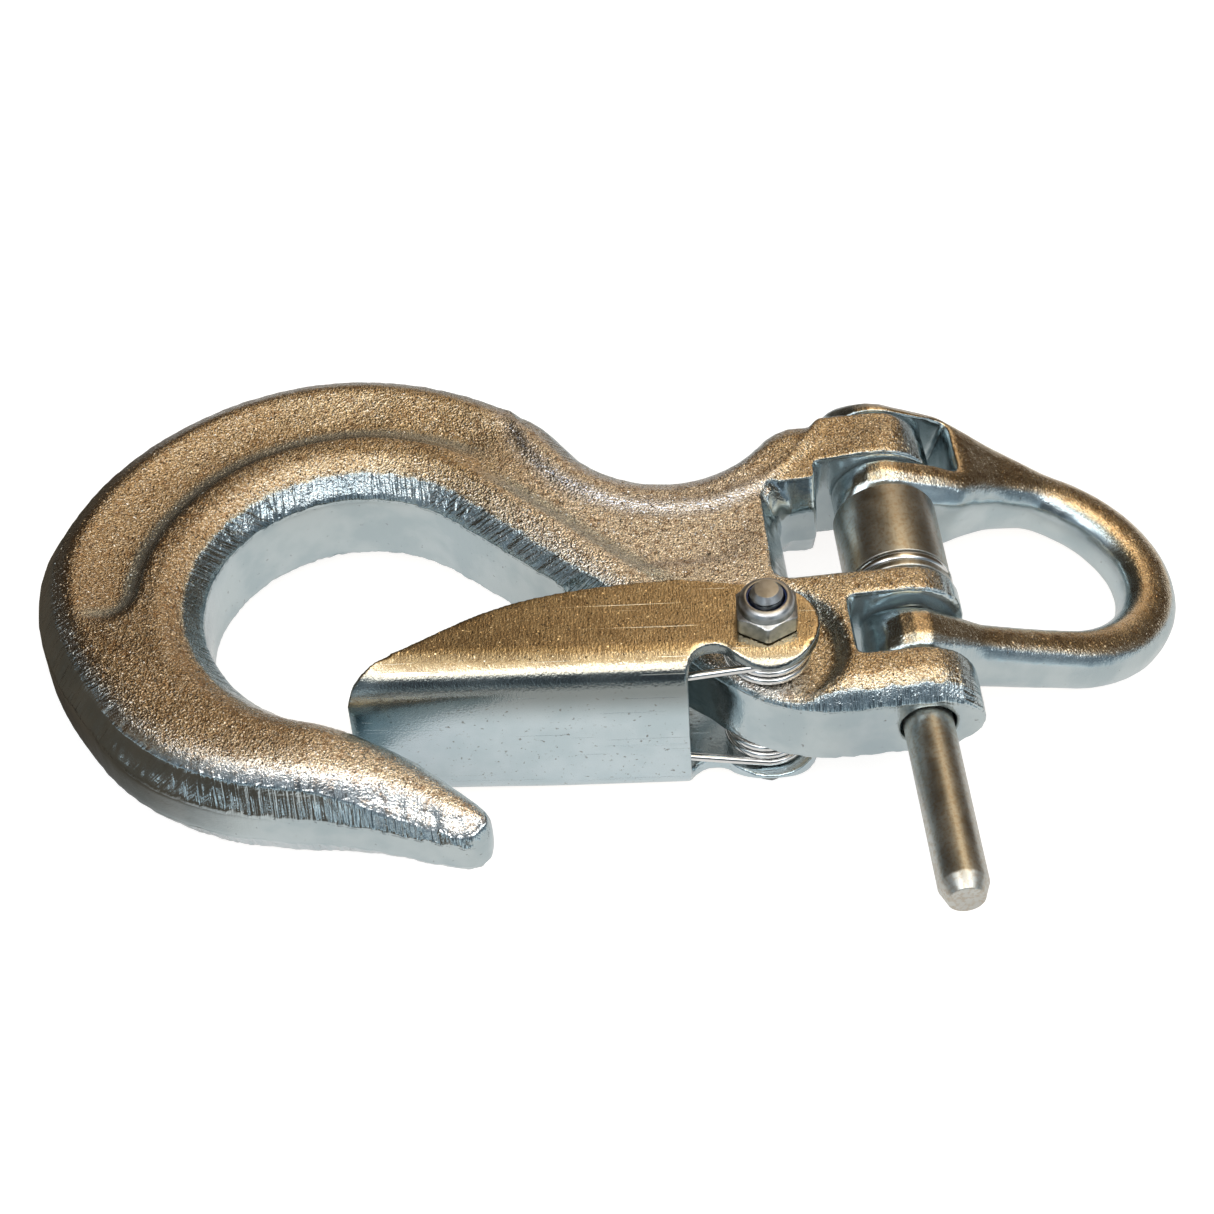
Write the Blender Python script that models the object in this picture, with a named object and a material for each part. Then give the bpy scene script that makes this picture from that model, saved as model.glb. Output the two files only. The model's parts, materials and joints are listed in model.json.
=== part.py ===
"""Forged slip hook with a spring latch and a pinned coupling half link.

The hook frame has X along the load line, Y along the load pin and Z square to the hook,
with its origin at the middle of the load pin's bore. Sizes are in millimetres and are
turned into metres where a mesh is made.
"""
import math

import bmesh
import bpy
from mathutils import Matrix, Vector

MM = 0.001
FULL_TURN = 2.0 * math.pi

# General fits
SEAT_GAP = 0.3
SLOT_CLEARANCE = 0.4
BORE_CLEARANCE = 0.5
ROUND_SIDES = 32
CORNER_STEPS = 6
CRISP_ANGLE = math.radians(35.0)

# Hook shank and bowl, in plan: the shank's inner edge runs from its near corner to the bowl
SHANK_CORNER = -27.15
SHANK_LENGTH = 82.2
BOWL_INNER_RADIUS = 28.6
BOWL_START = math.radians(45.0)
BOWL_END = math.radians(255.0)
BOWL_STEPS = 44
BOWL_WIDTHS = ((45.0, 31.4), (100.0, 34.6), (160.0, 35.4), (205.0, 26.6), (255.0, 19.7))
BOWL_HALF_THICKNESS = 13.2
BOWL_BAND_HALF = 7.6
BOWL_OUTER_BAND_HALF = 4.8
BOWL_BEVELS = (8.0, 7.2)
GROOVE_DEPTH = 2.6
GROOVE_END = math.radians(191.0)
GROOVE_FADE = math.radians(17.0)
GROOVE_SHARES = (0.0, 0.18, 0.32, 0.5, 0.95, 1.0)
HEAD_BEVELS = (5.6, 5.6)
BEVEL_WIDTH_LIMIT = 0.36
KNEE_WIDTH = 0.48
KNEE_RISE = 0.72

# Hook tip
TIP_BEARING = math.radians(289.1)
TIP_OFFSET = 26.6
TIP_REACH = 9.0
TIP_BEND = 0.4
TIP_END_WIDTH = 9.6
TIP_FULLNESS = 1.4
TIP_HALF_THICKNESS = 7.6
TIP_BAND_HALF = 3.6
TIP_STEPS = 9
TIP_THIN_START = math.radians(200.0)
TIP_THICKNESS_SHARE = 0.92
TIP_BAND_SHARE = 0.8
TIP_ROUNDING = (35.0, 60.0, 80.0)
TIP_BLUNTNESS = 0.35

# Neck and coupling head
NECK_ARC_CENTRE = (-40.0, 42.0)
NECK_ARC_RADIUS = 22.0
NECK_ARC_START = math.radians(217.0)
NECK_ARC_END = math.radians(325.0)
NECK_STEPS = 24
SHOULDER_FILLET = 28.0
HEAD_HALF_THICKNESS = 11.0
HEAD_BAND_HALF = 6.5
HEAD_SLOPE = 1.6
NECK_THINNING = 1.4
NECK_GROOVE_FADE = 2.2
KNUCKLE_TURNS = (0.0, 18.0, 36.0, 54.0, 70.0, 83.0)
KNUCKLE_BAND = 0.6

# Coupling layers along the load pin, from the near face inwards
NEAR_FACE = -42.5
NEAR_PRONG = 10.9
NEAR_SLOT = 14.1
INNER_PRONG = 6.5
CENTRE_WINDOW = 30.3
FAR_PRONG = 12.7
NEAR_SLOT_DEPTH = 11.7
FAR_SLOT_DEPTH = 13.2
WINDOW_DEPTH = 21.4
WINDOW_CORNER = 3.0
WINDOW_RIM = 4.0
WINDOW_FLARE = 3.6

# Load pin and bush
PIN_DIAMETER = 9.5
PIN_LENGTH = 76.0
PIN_EXPOSED = 40.2
PIN_NOSE_LENGTH = 2.4
PIN_NOSE_DROP = 1.65
PIN_NOSE_KNEE = 0.32
BUSH_DIAMETER = 20.5
BUSH_CHAMFER = 0.8
RING_WIDTH = 2.0
RING_DEPTH = 1.8
RING_PROUD = 0.25
RING_SETBACK = 1.4
RING_EDGE = 0.6
RING_SPLIT = math.radians(14.0)

# Coupling half link
EAR_RADIUS = 9.6
OUTER_EAR = 5.3
INNER_EAR = 7.1
EYE_CENTRE = (28.4, 0.8)
EYE_RADII = (20.2, 17.0)
RING_CENTRE = (30.9, 0.8)
RING_RADII = (29.2, 27.0)
LINK_HALF_THICKNESS = 5.8
LINK_BAND_HALF = 2.6
LINK_BEVELS = (4.2, 4.2)
LIMB_WIDTH = 10.0
LINK_SLOT_DEPTH = 13.6
PRONG_END_CLEARANCE = 1.5
NECKING_STEPS = (0.0, 0.35, 0.7)
NECKING_LEAD = 0.7
FORK_ROOT = 15.0
FORK_ROOT_LEAN = (3.0, 1.0)
FORK_STEPS = (0.45, 0.8, 1.0)
FORK_SWELL = 0.8
RING_SWEEP = math.radians(78.0)
RING_STEPS = 22

# Latch sheet, measured from the bolt: along the latch and across it
BOLT_AXIS = (-28.5, -28.0)
LATCH_HALF_WIDTH = 18.5
SHEET = 3.2
FOLD_RADIUS = 7.0
WEB_OFFSET = 11.9
LATCH_LENGTH = 78.4
CHEEK_EDGE = 11.1
CHEEK_EDGE_START = 16.0
CHEEK_CONTROLS = ((54.8, 9.0), (54.5, 1.9))
NOSE_SETBACK = 1.5
EAR_CENTRE = (-0.4, -0.9)
EAR_EDGE_RADIUS = 9.4
EAR_START = math.radians(99.0)
NOTCH_CENTRE = (10.2, -10.2)
NOTCH_RADIUS = 4.7
NOTCH_TURN = math.radians(148.0)
EAR_TURN = math.radians(292.0)
NOSE_CORNER = 10.0
NOSE_OVERSIZE = 0.6

# Latch bolt, lock nut and nylon insert
BOLT_DIAMETER = 6.35
BOLT_HOLE_CLEARANCE = 0.35
HEX_FLATS = 11.1
BOLT_HEAD_HEIGHT = 3.4
BOLT_END_ABOVE_NUT = 1.9
BOLT_END_CHAMFER = 0.6
NUT_HEX_HEIGHT = 4.0
NUT_HEIGHT = 6.2
INSERT_WALL = 0.725
NUT_RIM = 0.7
NUT_RIM_DROP = 0.15
NUT_FACE_MARGIN = 0.1
INSERT_HEIGHT = 1.5
HEX_CHAMFER = 0.5
HEX_POINTS = 36
NUT_TURN = math.radians(2.0)
BOSS_RECESS_RADIUS = 12.6
BOSS_RECESS_FLARE = 1.1

# Latch spring
WIRE = 1.6
SPRING_TURNS = 2.25
COIL_GAP = 0.6
POINTS_PER_TURN = 10
SPRING_ARM = 33.0
BRIDGE_HALF = 6.4
BRIDGE_CORNER = 2.4
BRIDGE_STEPS = 4
TAIL_STEPS = (0.5, 1.0)
LEG_STEPS = (0.2, 0.6, 1.0)

# Resting attitude: where the bowl's rim meets the ground, as a bearing round the bowl
REST_BEARING = math.radians(125.0)
RIM_CREST_OFFSET = 18.4
HALVINGS = 40

# Derived fits
SHANK_END = (SHANK_CORNER - SHANK_LENGTH * math.sin(BOWL_START),
             NEAR_FACE + SHANK_LENGTH * math.cos(BOWL_START))
BOWL_CENTRE = (SHANK_END[0] - BOWL_INNER_RADIUS * math.cos(BOWL_START),
               SHANK_END[1] - BOWL_INNER_RADIUS * math.sin(BOWL_START))
TIP_RADIUS = BOWL_INNER_RADIUS + TIP_OFFSET
TIP_END = (BOWL_CENTRE[0] + TIP_RADIUS * math.cos(TIP_BEARING),
           BOWL_CENTRE[1] + TIP_RADIUS * math.sin(TIP_BEARING))
RIM_CREST_RADIUS = BOWL_INNER_RADIUS + RIM_CREST_OFFSET
NEAR_SLOT_NEAR = NEAR_FACE + NEAR_PRONG
NEAR_SLOT_FAR = NEAR_SLOT_NEAR + NEAR_SLOT
WINDOW_NEAR_EDGE = NEAR_SLOT_FAR + INNER_PRONG
FAR_PRONG_NEAR = WINDOW_NEAR_EDGE + CENTRE_WINDOW
FAR_PRONG_FAR = FAR_PRONG_NEAR + FAR_PRONG
PIN_RADIUS = PIN_DIAMETER / 2.0
PIN_BORE_RADIUS = PIN_RADIUS + BORE_CLEARANCE
BOLT_RADIUS = BOLT_DIAMETER / 2.0
BOLT_HOLE_RADIUS = BOLT_RADIUS + BOLT_HOLE_CLEARANCE
LINK_FORK_NEAR = FAR_PRONG_NEAR - SLOT_CLEARANCE
LINK_FORK_FAR = FAR_PRONG_FAR + SLOT_CLEARANCE
INNER_EAR_FACE = LINK_FORK_NEAR - INNER_EAR
LINK_FAR_FACE = LINK_FORK_FAR + OUTER_EAR
LINK_NEAR_OUT = NEAR_SLOT_NEAR + SLOT_CLEARANCE
LINK_NEAR_IN = NEAR_SLOT_FAR - SLOT_CLEARANCE
BUSH_NEAR = WINDOW_NEAR_EDGE + SLOT_CLEARANCE
BUSH_FAR = INNER_EAR_FACE - SLOT_CLEARANCE
WINDOW_FAR_EDGE = INNER_EAR_FACE - SEAT_GAP
HEAD_BOTTOM = LATCH_HALF_WIDTH + SEAT_GAP + BOLT_HEAD_HEIGHT
SPRING_PITCH = WIRE + COIL_GAP
COIL_HEIGHT = SPRING_PITCH * SPRING_TURNS + WIRE
BOSS_HALF_THICKNESS = LATCH_HALF_WIDTH - SHEET - COIL_HEIGHT - 2.0 * SEAT_GAP
WEB_START = NOTCH_CENTRE[0] + NOTCH_RADIUS
CUT_REACH = 60.0
NEAR_SIDE = math.radians(270.0)
QUARTER_TURN = FULL_TURN / 4.0


def blend(a, b, t):
    """Point or number between a and b."""
    if isinstance(a, tuple):
        return tuple(blend(p, q, t) for p, q in zip(a, b))
    return a + (b - a) * t


def ease(t):
    """Smooth step from 0 to 1."""
    t = min(max(t, 0.0), 1.0)
    return t * t * (3.0 - 2.0 * t)


def polar(centre, radius, angle):
    """Point at a radius and angle round a centre; a pair of radii gives an ellipse."""
    rx, ry = radius if isinstance(radius, tuple) else (radius, radius)
    return (centre[0] + rx * math.cos(angle), centre[1] + ry * math.sin(angle))


def arc(centre, radius, start, end, steps):
    """Points along an arc, both ends included."""
    return [polar(centre, radius, blend(start, end, i / steps)) for i in range(steps + 1)]


def bezier(p0, p1, p2, p3, steps):
    """Points along a cubic curve, both ends included."""
    points = []
    for i in range(steps + 1):
        t = i / steps
        s = 1.0 - t
        weights = (s ** 3, 3 * s * s * t, 3 * s * t * t, t ** 3)
        points.append(tuple(sum(w * p[k] for w, p in zip(weights, (p0, p1, p2, p3))) for k in range(2)))
    return points


def resample(points, count):
    """Points at even distances along a polyline, both ends included."""
    lengths = [math.dist(p, q) for p, q in zip(points, points[1:])]
    total = sum(lengths)
    result = []
    for i in range(count + 1):
        left = total * i / count
        k = 0
        while k < len(lengths) - 1 and left > lengths[k]:
            left -= lengths[k]
            k += 1
        result.append(blend(points[k], points[k + 1], left / lengths[k]))
    return result


def material(name, colour, roughness, metallic=1.0):
    """Plain surface finish."""
    finish = bpy.data.materials.new(name)
    finish.use_nodes = True
    shader = finish.node_tree.nodes["Principled BSDF"]
    shader.inputs["Base Color"].default_value = (*colour, 1.0)
    shader.inputs["Roughness"].default_value = roughness
    shader.inputs["Metallic"].default_value = metallic
    finish.diffuse_color = (*colour, 1.0)
    return finish


def link_object(name, data, parent, finish=None):
    """Put a mesh or curve in the scene under a parent."""
    obj = bpy.data.objects.new(name, data)
    bpy.context.scene.collection.objects.link(obj)
    obj.parent = parent
    if finish:
        data.materials.append(finish)
    return obj


def empty(name, parent=None):
    """Frame that carries pieces."""
    return link_object(name, None, parent)


def loop_mesh(name, loops, ring=False):
    """Skin over closed loops of points; a ring joins its last loop to its first."""
    count = len(loops[0])
    verts = [Vector(p) * MM for loop in loops for p in loop]
    faces = []
    last = len(loops) if ring else len(loops) - 1
    for i in range(last):
        near = i * count
        far = (i + 1) % len(loops) * count
        for k in range(count):
            n = (k + 1) % count
            faces.append((near + k, near + n, far + n, far + k))
    if not ring:
        faces.append(tuple(reversed(range(count))))
        faces.append(tuple(range(len(verts) - count, len(verts))))
    mesh = bpy.data.meshes.new(name)
    mesh.from_pydata(verts, [], faces)
    shape = bmesh.new()
    shape.from_mesh(mesh)
    bmesh.ops.recalc_face_normals(shape, faces=shape.faces)
    shape.to_mesh(mesh)
    shape.free()
    return mesh


def shade(obj):
    """Smooth shading with crisp edges past an angle."""
    obj.data.shade_smooth()
    obj.data.set_sharp_from_angle(angle=CRISP_ANGLE)


def raise_loop(outline, z):
    """Plan outline at a height."""
    return [(x, y, z) for x, y in outline]


def prism(name, outline, low, high):
    """Straight prism over a plan outline."""
    return loop_mesh(name, [raise_loop(outline, z) for z in (low, high)])


def cylinder_y(name, radius, low, high):
    """Cylinder along the load pin."""
    ring = arc((0.0, 0.0), radius, 0.0, FULL_TURN, ROUND_SIDES)[:-1]
    return loop_mesh(name, [[(x, y, z) for x, z in ring] for y in (low, high)])


def cylinder_z(name, radius, low, high, centre=(0.0, 0.0)):
    """Cylinder along the latch bolt."""
    return prism(name, arc(centre, radius, 0.0, FULL_TURN, ROUND_SIDES)[:-1], low, high)


def cut(target, cutter_mesh, parent, operation="DIFFERENCE"):
    """Cut a piece with a hidden cutter."""
    cutter = link_object(cutter_mesh.name, cutter_mesh, parent)
    cutter.hide_render = True
    cutter.display_type = "WIRE"
    modifier = target.modifiers.new(cutter_mesh.name, "BOOLEAN")
    modifier.operation = operation
    modifier.solver = "EXACT"
    modifier.object = cutter
    return cutter


def forged_section(inner, outer, half, bands, groove=0.0, bevels=HEAD_BEVELS):
    """Closed forged section from an inner to an outer edge, with a trimmed band and a bevel at each."""
    width = math.dist(inner, outer)
    inner_bevel, outer_bevel = (min(bevel, BEVEL_WIDTH_LIMIT * width) for bevel in bevels)
    inner_knee, outer_knee = (blend(band, half, KNEE_RISE) for band in bands)
    floor = half - groove
    flat = width - inner_bevel - outer_bevel
    crown = [(inner_bevel + flat * share, height) for share, height in
             zip(GROOVE_SHARES, (half, half, floor, floor, half, half))]
    top = [(0.0, bands[0]), (KNEE_WIDTH * inner_bevel, inner_knee)] + crown
    top += [(width - KNEE_WIDTH * outer_bevel, outer_knee), (width, bands[1])]
    sides = top + [(s, -z) for s, z in reversed(top)]
    loop = []
    for s, z in sides:
        x, y = blend(inner, outer, s / width)
        loop.append((x, y, z))
    return loop


def outer_radius(angle):
    """Outer radius of the bowl at an angle, with its width eased between the driving widths."""
    degrees = math.degrees(angle)
    width = BOWL_WIDTHS[-1][1]
    for (a, wa), (b, wb) in zip(BOWL_WIDTHS, BOWL_WIDTHS[1:]):
        if a <= degrees <= b:
            t = (degrees - a) / (b - a)
            width = blend(wa, wb, (ease(t) + t) / 2.0)
    return BOWL_INNER_RADIUS + width


def tip_sections():
    """Sections from the rounded end of the tip back to the bowl."""
    inner = polar(BOWL_CENTRE, BOWL_INNER_RADIUS, BOWL_END)
    outer = polar(BOWL_CENTRE, outer_radius(BOWL_END), BOWL_END)
    start = blend(inner, outer, 0.5)
    heading = (-math.sin(BOWL_END), math.cos(BOWL_END))
    bend = (start[0] + heading[0] * TIP_REACH, start[1] + heading[1] * TIP_REACH)
    line = resample(bezier(start, bend, blend(bend, TIP_END, TIP_BEND), TIP_END, 4 * TIP_STEPS), TIP_STEPS)
    start_width = math.dist(inner, outer)
    sections = []
    for i in range(1, TIP_STEPS + 1):
        t = i / TIP_STEPS
        before = line[i - 1]
        after = line[min(i + 1, TIP_STEPS)]
        run = math.dist(before, after)
        along = ((after[0] - before[0]) / run, (after[1] - before[1]) / run)
        across = (-along[1], along[0])
        half_width = blend(start_width, TIP_END_WIDTH, t ** TIP_FULLNESS) / 2.0
        half = blend(BOWL_HALF_THICKNESS * TIP_THICKNESS_SHARE, TIP_HALF_THICKNESS, t)
        bands = (blend(BOWL_BAND_HALF * TIP_BAND_SHARE, TIP_BAND_HALF, t),
                 blend(BOWL_OUTER_BAND_HALF * TIP_BAND_SHARE, TIP_BAND_HALF, t))
        sections.append((line[i], along, across, half_width, half, bands))
    centre, along, across, half_width, half, bands = sections[-1]
    for turn in TIP_ROUNDING:
        grow = math.sin(math.radians(turn)) * half_width
        shrink = math.cos(math.radians(turn))
        moved = (centre[0] + along[0] * grow, centre[1] + along[1] * grow)
        thin = blend(TIP_BLUNTNESS, 1.0, shrink)
        thin_bands = (bands[0] * shrink, bands[1] * shrink)
        sections.append((moved, along, across, half_width * shrink, half * thin, thin_bands))
    loops = []
    for centre, along, across, half_width, half, bands in reversed(sections):
        inner = (centre[0] + across[0] * half_width, centre[1] + across[1] * half_width)
        outer = (centre[0] - across[0] * half_width, centre[1] - across[1] * half_width)
        loops.append(forged_section(inner, outer, half, bands))
    return loops


def bowl_sections():
    """Sections round the bowl, from the tip side to the neck side."""
    loops = []
    for i in range(BOWL_STEPS + 1):
        angle = blend(BOWL_END, BOWL_START, i / BOWL_STEPS)
        inner = polar(BOWL_CENTRE, BOWL_INNER_RADIUS, angle)
        outer = polar(BOWL_CENTRE, outer_radius(angle), angle)
        thin = ease((angle - TIP_THIN_START) / (BOWL_END - TIP_THIN_START))
        half = BOWL_HALF_THICKNESS * blend(1.0, TIP_THICKNESS_SHARE, thin)
        share = blend(1.0, TIP_BAND_SHARE, thin)
        bands = (BOWL_BAND_HALF * share, BOWL_OUTER_BAND_HALF * share)
        groove = GROOVE_DEPTH * ease((GROOVE_END - angle) / GROOVE_FADE)
        bevels = blend(BOWL_BEVELS, HEAD_BEVELS, thin)
        loops.append(forged_section(inner, outer, half, bands, groove, bevels))
    return loops


def neck_sections():
    """Sections from the bowl down the neck to the start of the prongs."""
    trim = SHOULDER_FILLET * math.tan(BOWL_START / 2.0)
    fillet_centre = (SHANK_CORNER + trim, NEAR_FACE + SHOULDER_FILLET)
    fillet = arc(fillet_centre, SHOULDER_FILLET, NEAR_SIDE - BOWL_START, NEAR_SIDE, NECK_STEPS)
    inner_path = [SHANK_END] + fillet + [(-NEAR_SLOT_DEPTH, NEAR_FACE)]
    outer_start = polar(BOWL_CENTRE, outer_radius(BOWL_START), BOWL_START)
    neck = arc(NECK_ARC_CENTRE, NECK_ARC_RADIUS, NECK_ARC_START, NECK_ARC_END, NECK_STEPS)
    top = (neck[-1][0] + (FAR_PRONG_FAR - neck[-1][1]) * HEAD_SLOPE, FAR_PRONG_FAR)
    outer_path = [outer_start] + neck + [top, (-NEAR_SLOT_DEPTH, FAR_PRONG_FAR)]
    inner = resample(inner_path, NECK_STEPS)
    outer = resample(outer_path, NECK_STEPS)
    loops = []
    for i in range(1, NECK_STEPS + 1):
        t = ease(i / NECK_STEPS * NECK_THINNING)
        half = blend(BOWL_HALF_THICKNESS, HEAD_HALF_THICKNESS, t)
        bands = (blend(BOWL_BAND_HALF, HEAD_BAND_HALF, t), blend(BOWL_OUTER_BAND_HALF, HEAD_BAND_HALF, t))
        groove = GROOVE_DEPTH * (1.0 - ease(i / NECK_STEPS * NECK_GROOVE_FADE))
        bevels = blend(BOWL_BEVELS, HEAD_BEVELS, t)
        loops.append(forged_section(inner[i], outer[i], half, bands, groove, bevels))
    return loops


def knuckle_turns():
    """Angles from the pin's centre plane out to a prong's rounded end."""
    return [math.radians(turn) for turn in KNUCKLE_TURNS]


def prong_sections():
    """Sections of the prongs, rounded about the load pin at their ends."""
    loops = []
    for turn in knuckle_turns():
        x = HEAD_HALF_THICKNESS * math.sin(turn)
        half = HEAD_HALF_THICKNESS * math.cos(turn)
        band = min(HEAD_BAND_HALF, KNUCKLE_BAND * half)
        loops.append(forged_section((x, NEAR_FACE), (x, FAR_PRONG_FAR), half, (band, band)))
    return loops


def window_outline(flare):
    """Plan outline of the centre window and far slot, its blind end and far wall grown by a flare."""
    end = HEAD_HALF_THICKNESS * 2.0
    left = -WINDOW_DEPTH - flare + WINDOW_CORNER
    far = WINDOW_FAR_EDGE + flare
    outline = arc((left, far - WINDOW_CORNER), WINDOW_CORNER, QUARTER_TURN, 2.0 * QUARTER_TURN, CORNER_STEPS)
    outline += arc((left, WINDOW_NEAR_EDGE + WINDOW_CORNER), WINDOW_CORNER, 2.0 * QUARTER_TURN, NEAR_SIDE,
                   CORNER_STEPS)
    outline += [(end, WINDOW_NEAR_EDGE), (end, FAR_PRONG_NEAR), (-FAR_SLOT_DEPTH, FAR_PRONG_NEAR),
                (-FAR_SLOT_DEPTH, far)]
    return outline


def window_cutter():
    """Cutter for the window: straight through its middle, flared to both faces of the head."""
    steep = WINDOW_FLARE / (HEAD_HALF_THICKNESS - WINDOW_RIM)
    top = (FAR_PRONG_NEAR - WINDOW_FAR_EDGE) / (2.0 * steep)
    levels = ((-CUT_REACH, top), (-WINDOW_RIM - top, top), (-WINDOW_RIM, 0.0), (WINDOW_RIM, 0.0),
              (WINDOW_RIM + top, top), (CUT_REACH, top))
    return loop_mesh("window_cut", [raise_loop(window_outline(steep * rise), z) for z, rise in levels])


def recess_cutter(name, side):
    """Flared cutter that lowers the boss under one of the latch's ears."""
    rise = 2.0 * BOWL_HALF_THICKNESS - BOSS_HALF_THICKNESS
    wide = BOSS_RECESS_RADIUS + rise * BOSS_RECESS_FLARE
    loops = []
    for radius, height in ((BOSS_RECESS_RADIUS, BOSS_HALF_THICKNESS), (wide, BOSS_HALF_THICKNESS + rise)):
        circle = arc(BOLT_AXIS, radius, 0.0, FULL_TURN, ROUND_SIDES)[:-1]
        loops.append(raise_loop(circle, side * height))
    return loop_mesh(name, loops)


def make_hook(root, finish):
    """Forged hook with its coupling slots, bores and latch boss."""
    loops = tip_sections() + bowl_sections() + neck_sections() + prong_sections()
    hook = link_object("hook_body", loop_mesh("hook_body", loops), root, finish)
    end = HEAD_HALF_THICKNESS * 2.0
    slot = [(-NEAR_SLOT_DEPTH, NEAR_SLOT_NEAR), (end, NEAR_SLOT_NEAR), (end, NEAR_SLOT_FAR),
            (-NEAR_SLOT_DEPTH, NEAR_SLOT_FAR)]
    cut(hook, prism("near_slot_cut", slot, -CUT_REACH, CUT_REACH), root)
    cut(hook, window_cutter(), root)
    cut(hook, cylinder_y("pin_bore_cut", PIN_BORE_RADIUS, -CUT_REACH, CUT_REACH), root)
    cut(hook, cylinder_z("bolt_hole_cut", BOLT_HOLE_RADIUS, -CUT_REACH, CUT_REACH, BOLT_AXIS), root)
    cut(hook, recess_cutter("upper_boss_cut", 1.0), root)
    cut(hook, recess_cutter("lower_boss_cut", -1.0), root)
    shade(hook)
    return hook


def link_sections():
    """Sections of the half link from its near ear round the eye to its far fork."""
    loops = []
    for turn in reversed(knuckle_turns()):
        half = EAR_RADIUS * math.cos(turn)
        x = -EAR_RADIUS * math.sin(turn)
        band = min(LINK_BAND_HALF * 2.0, KNUCKLE_BAND * half)
        loops.append(forged_section((x, LINK_NEAR_IN), (x, LINK_NEAR_OUT), half, (band, band), 0.0, LINK_BEVELS))
    eye = arc(EYE_CENTRE, EYE_RADII, -RING_SWEEP, RING_SWEEP, RING_STEPS)
    rim = arc(RING_CENTRE, RING_RADII, -RING_SWEEP, RING_SWEEP, RING_STEPS)
    clear = HEAD_HALF_THICKNESS + PRONG_END_CLEARANCE
    for t in NECKING_STEPS:
        inner = blend((clear, LINK_NEAR_IN), eye[0], t)
        outer = blend((clear, LINK_NEAR_IN - LIMB_WIDTH), rim[0], t)
        taper = ease(blend(NECKING_LEAD, 1.0, t))
        half = blend(EAR_RADIUS, LINK_HALF_THICKNESS, taper)
        band = blend(LINK_BAND_HALF * 2.0, LINK_BAND_HALF, taper)
        loops.append(forged_section(inner, outer, half, (band, band), 0.0, LINK_BEVELS))
    bands = (LINK_BAND_HALF, LINK_BAND_HALF)
    for inner, outer in zip(eye, rim):
        loops.append(forged_section(inner, outer, LINK_HALF_THICKNESS, bands, 0.0, LINK_BEVELS))
    root_inner = (FORK_ROOT, INNER_EAR_FACE)
    root_outer = (FORK_ROOT - FORK_ROOT_LEAN[0], LINK_FAR_FACE - FORK_ROOT_LEAN[1])
    for t in FORK_STEPS:
        inner = blend(eye[-1], root_inner, t)
        inner = (inner[0], blend(eye[-1][1], INNER_EAR_FACE, t * t))
        outer = blend(rim[-1], root_outer, t)
        half = blend(LINK_HALF_THICKNESS, EAR_RADIUS, ease(t * FORK_SWELL))
        band = blend(LINK_BAND_HALF, LINK_BAND_HALF * 2.0, t)
        loops.append(forged_section(inner, outer, half, (band, band), 0.0, LINK_BEVELS))
    for turn in knuckle_turns():
        x = -EAR_RADIUS * math.sin(turn)
        half = EAR_RADIUS * math.cos(turn)
        band = min(LINK_BAND_HALF * 2.0, KNUCKLE_BAND * half)
        loops.append(forged_section((x, INNER_EAR_FACE), (x, LINK_FAR_FACE), half, (band, band), 0.0, LINK_BEVELS))
    return loops


def make_link(frame, finish):
    """Coupling half link with its fork slot and pin bore."""
    link = link_object("coupling_link", loop_mesh("coupling_link", link_sections()), frame, finish)
    low = -2.0 * EAR_RADIUS
    fork = [(low, LINK_FORK_NEAR), (LINK_SLOT_DEPTH, LINK_FORK_NEAR), (LINK_SLOT_DEPTH, LINK_FORK_FAR),
            (low, LINK_FORK_FAR)]
    cut(link, prism("fork_slot_cut", fork, -CUT_REACH, CUT_REACH), frame)
    cut(link, cylinder_y("link_bore_cut", PIN_BORE_RADIUS, -CUT_REACH, CUT_REACH), frame)
    shade(link)
    return link


def circle_y(radius, y):
    """Loop of points round the load pin."""
    return [(x, y, z) for x, z in arc((0.0, 0.0), radius, 0.0, FULL_TURN, ROUND_SIDES)[:-1]]


def make_pin(frame, finish):
    """Load pin, partly withdrawn towards the near side, with rounded ends."""
    outer_end = NEAR_FACE - PIN_EXPOSED
    inner_end = outer_end + PIN_LENGTH
    tip = PIN_RADIUS - PIN_NOSE_DROP
    knee = PIN_RADIUS - PIN_NOSE_KNEE * PIN_NOSE_DROP
    knee_reach = PIN_NOSE_KNEE * PIN_NOSE_LENGTH
    steps = ((tip, outer_end), (knee, outer_end + knee_reach), (PIN_RADIUS, outer_end + PIN_NOSE_LENGTH),
             (PIN_RADIUS, inner_end - PIN_NOSE_LENGTH), (knee, inner_end - knee_reach), (tip, inner_end))
    pin = link_object("load_pin", loop_mesh("load_pin", [circle_y(r, y) for r, y in steps]), frame, finish)
    shade(pin)
    return pin


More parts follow.
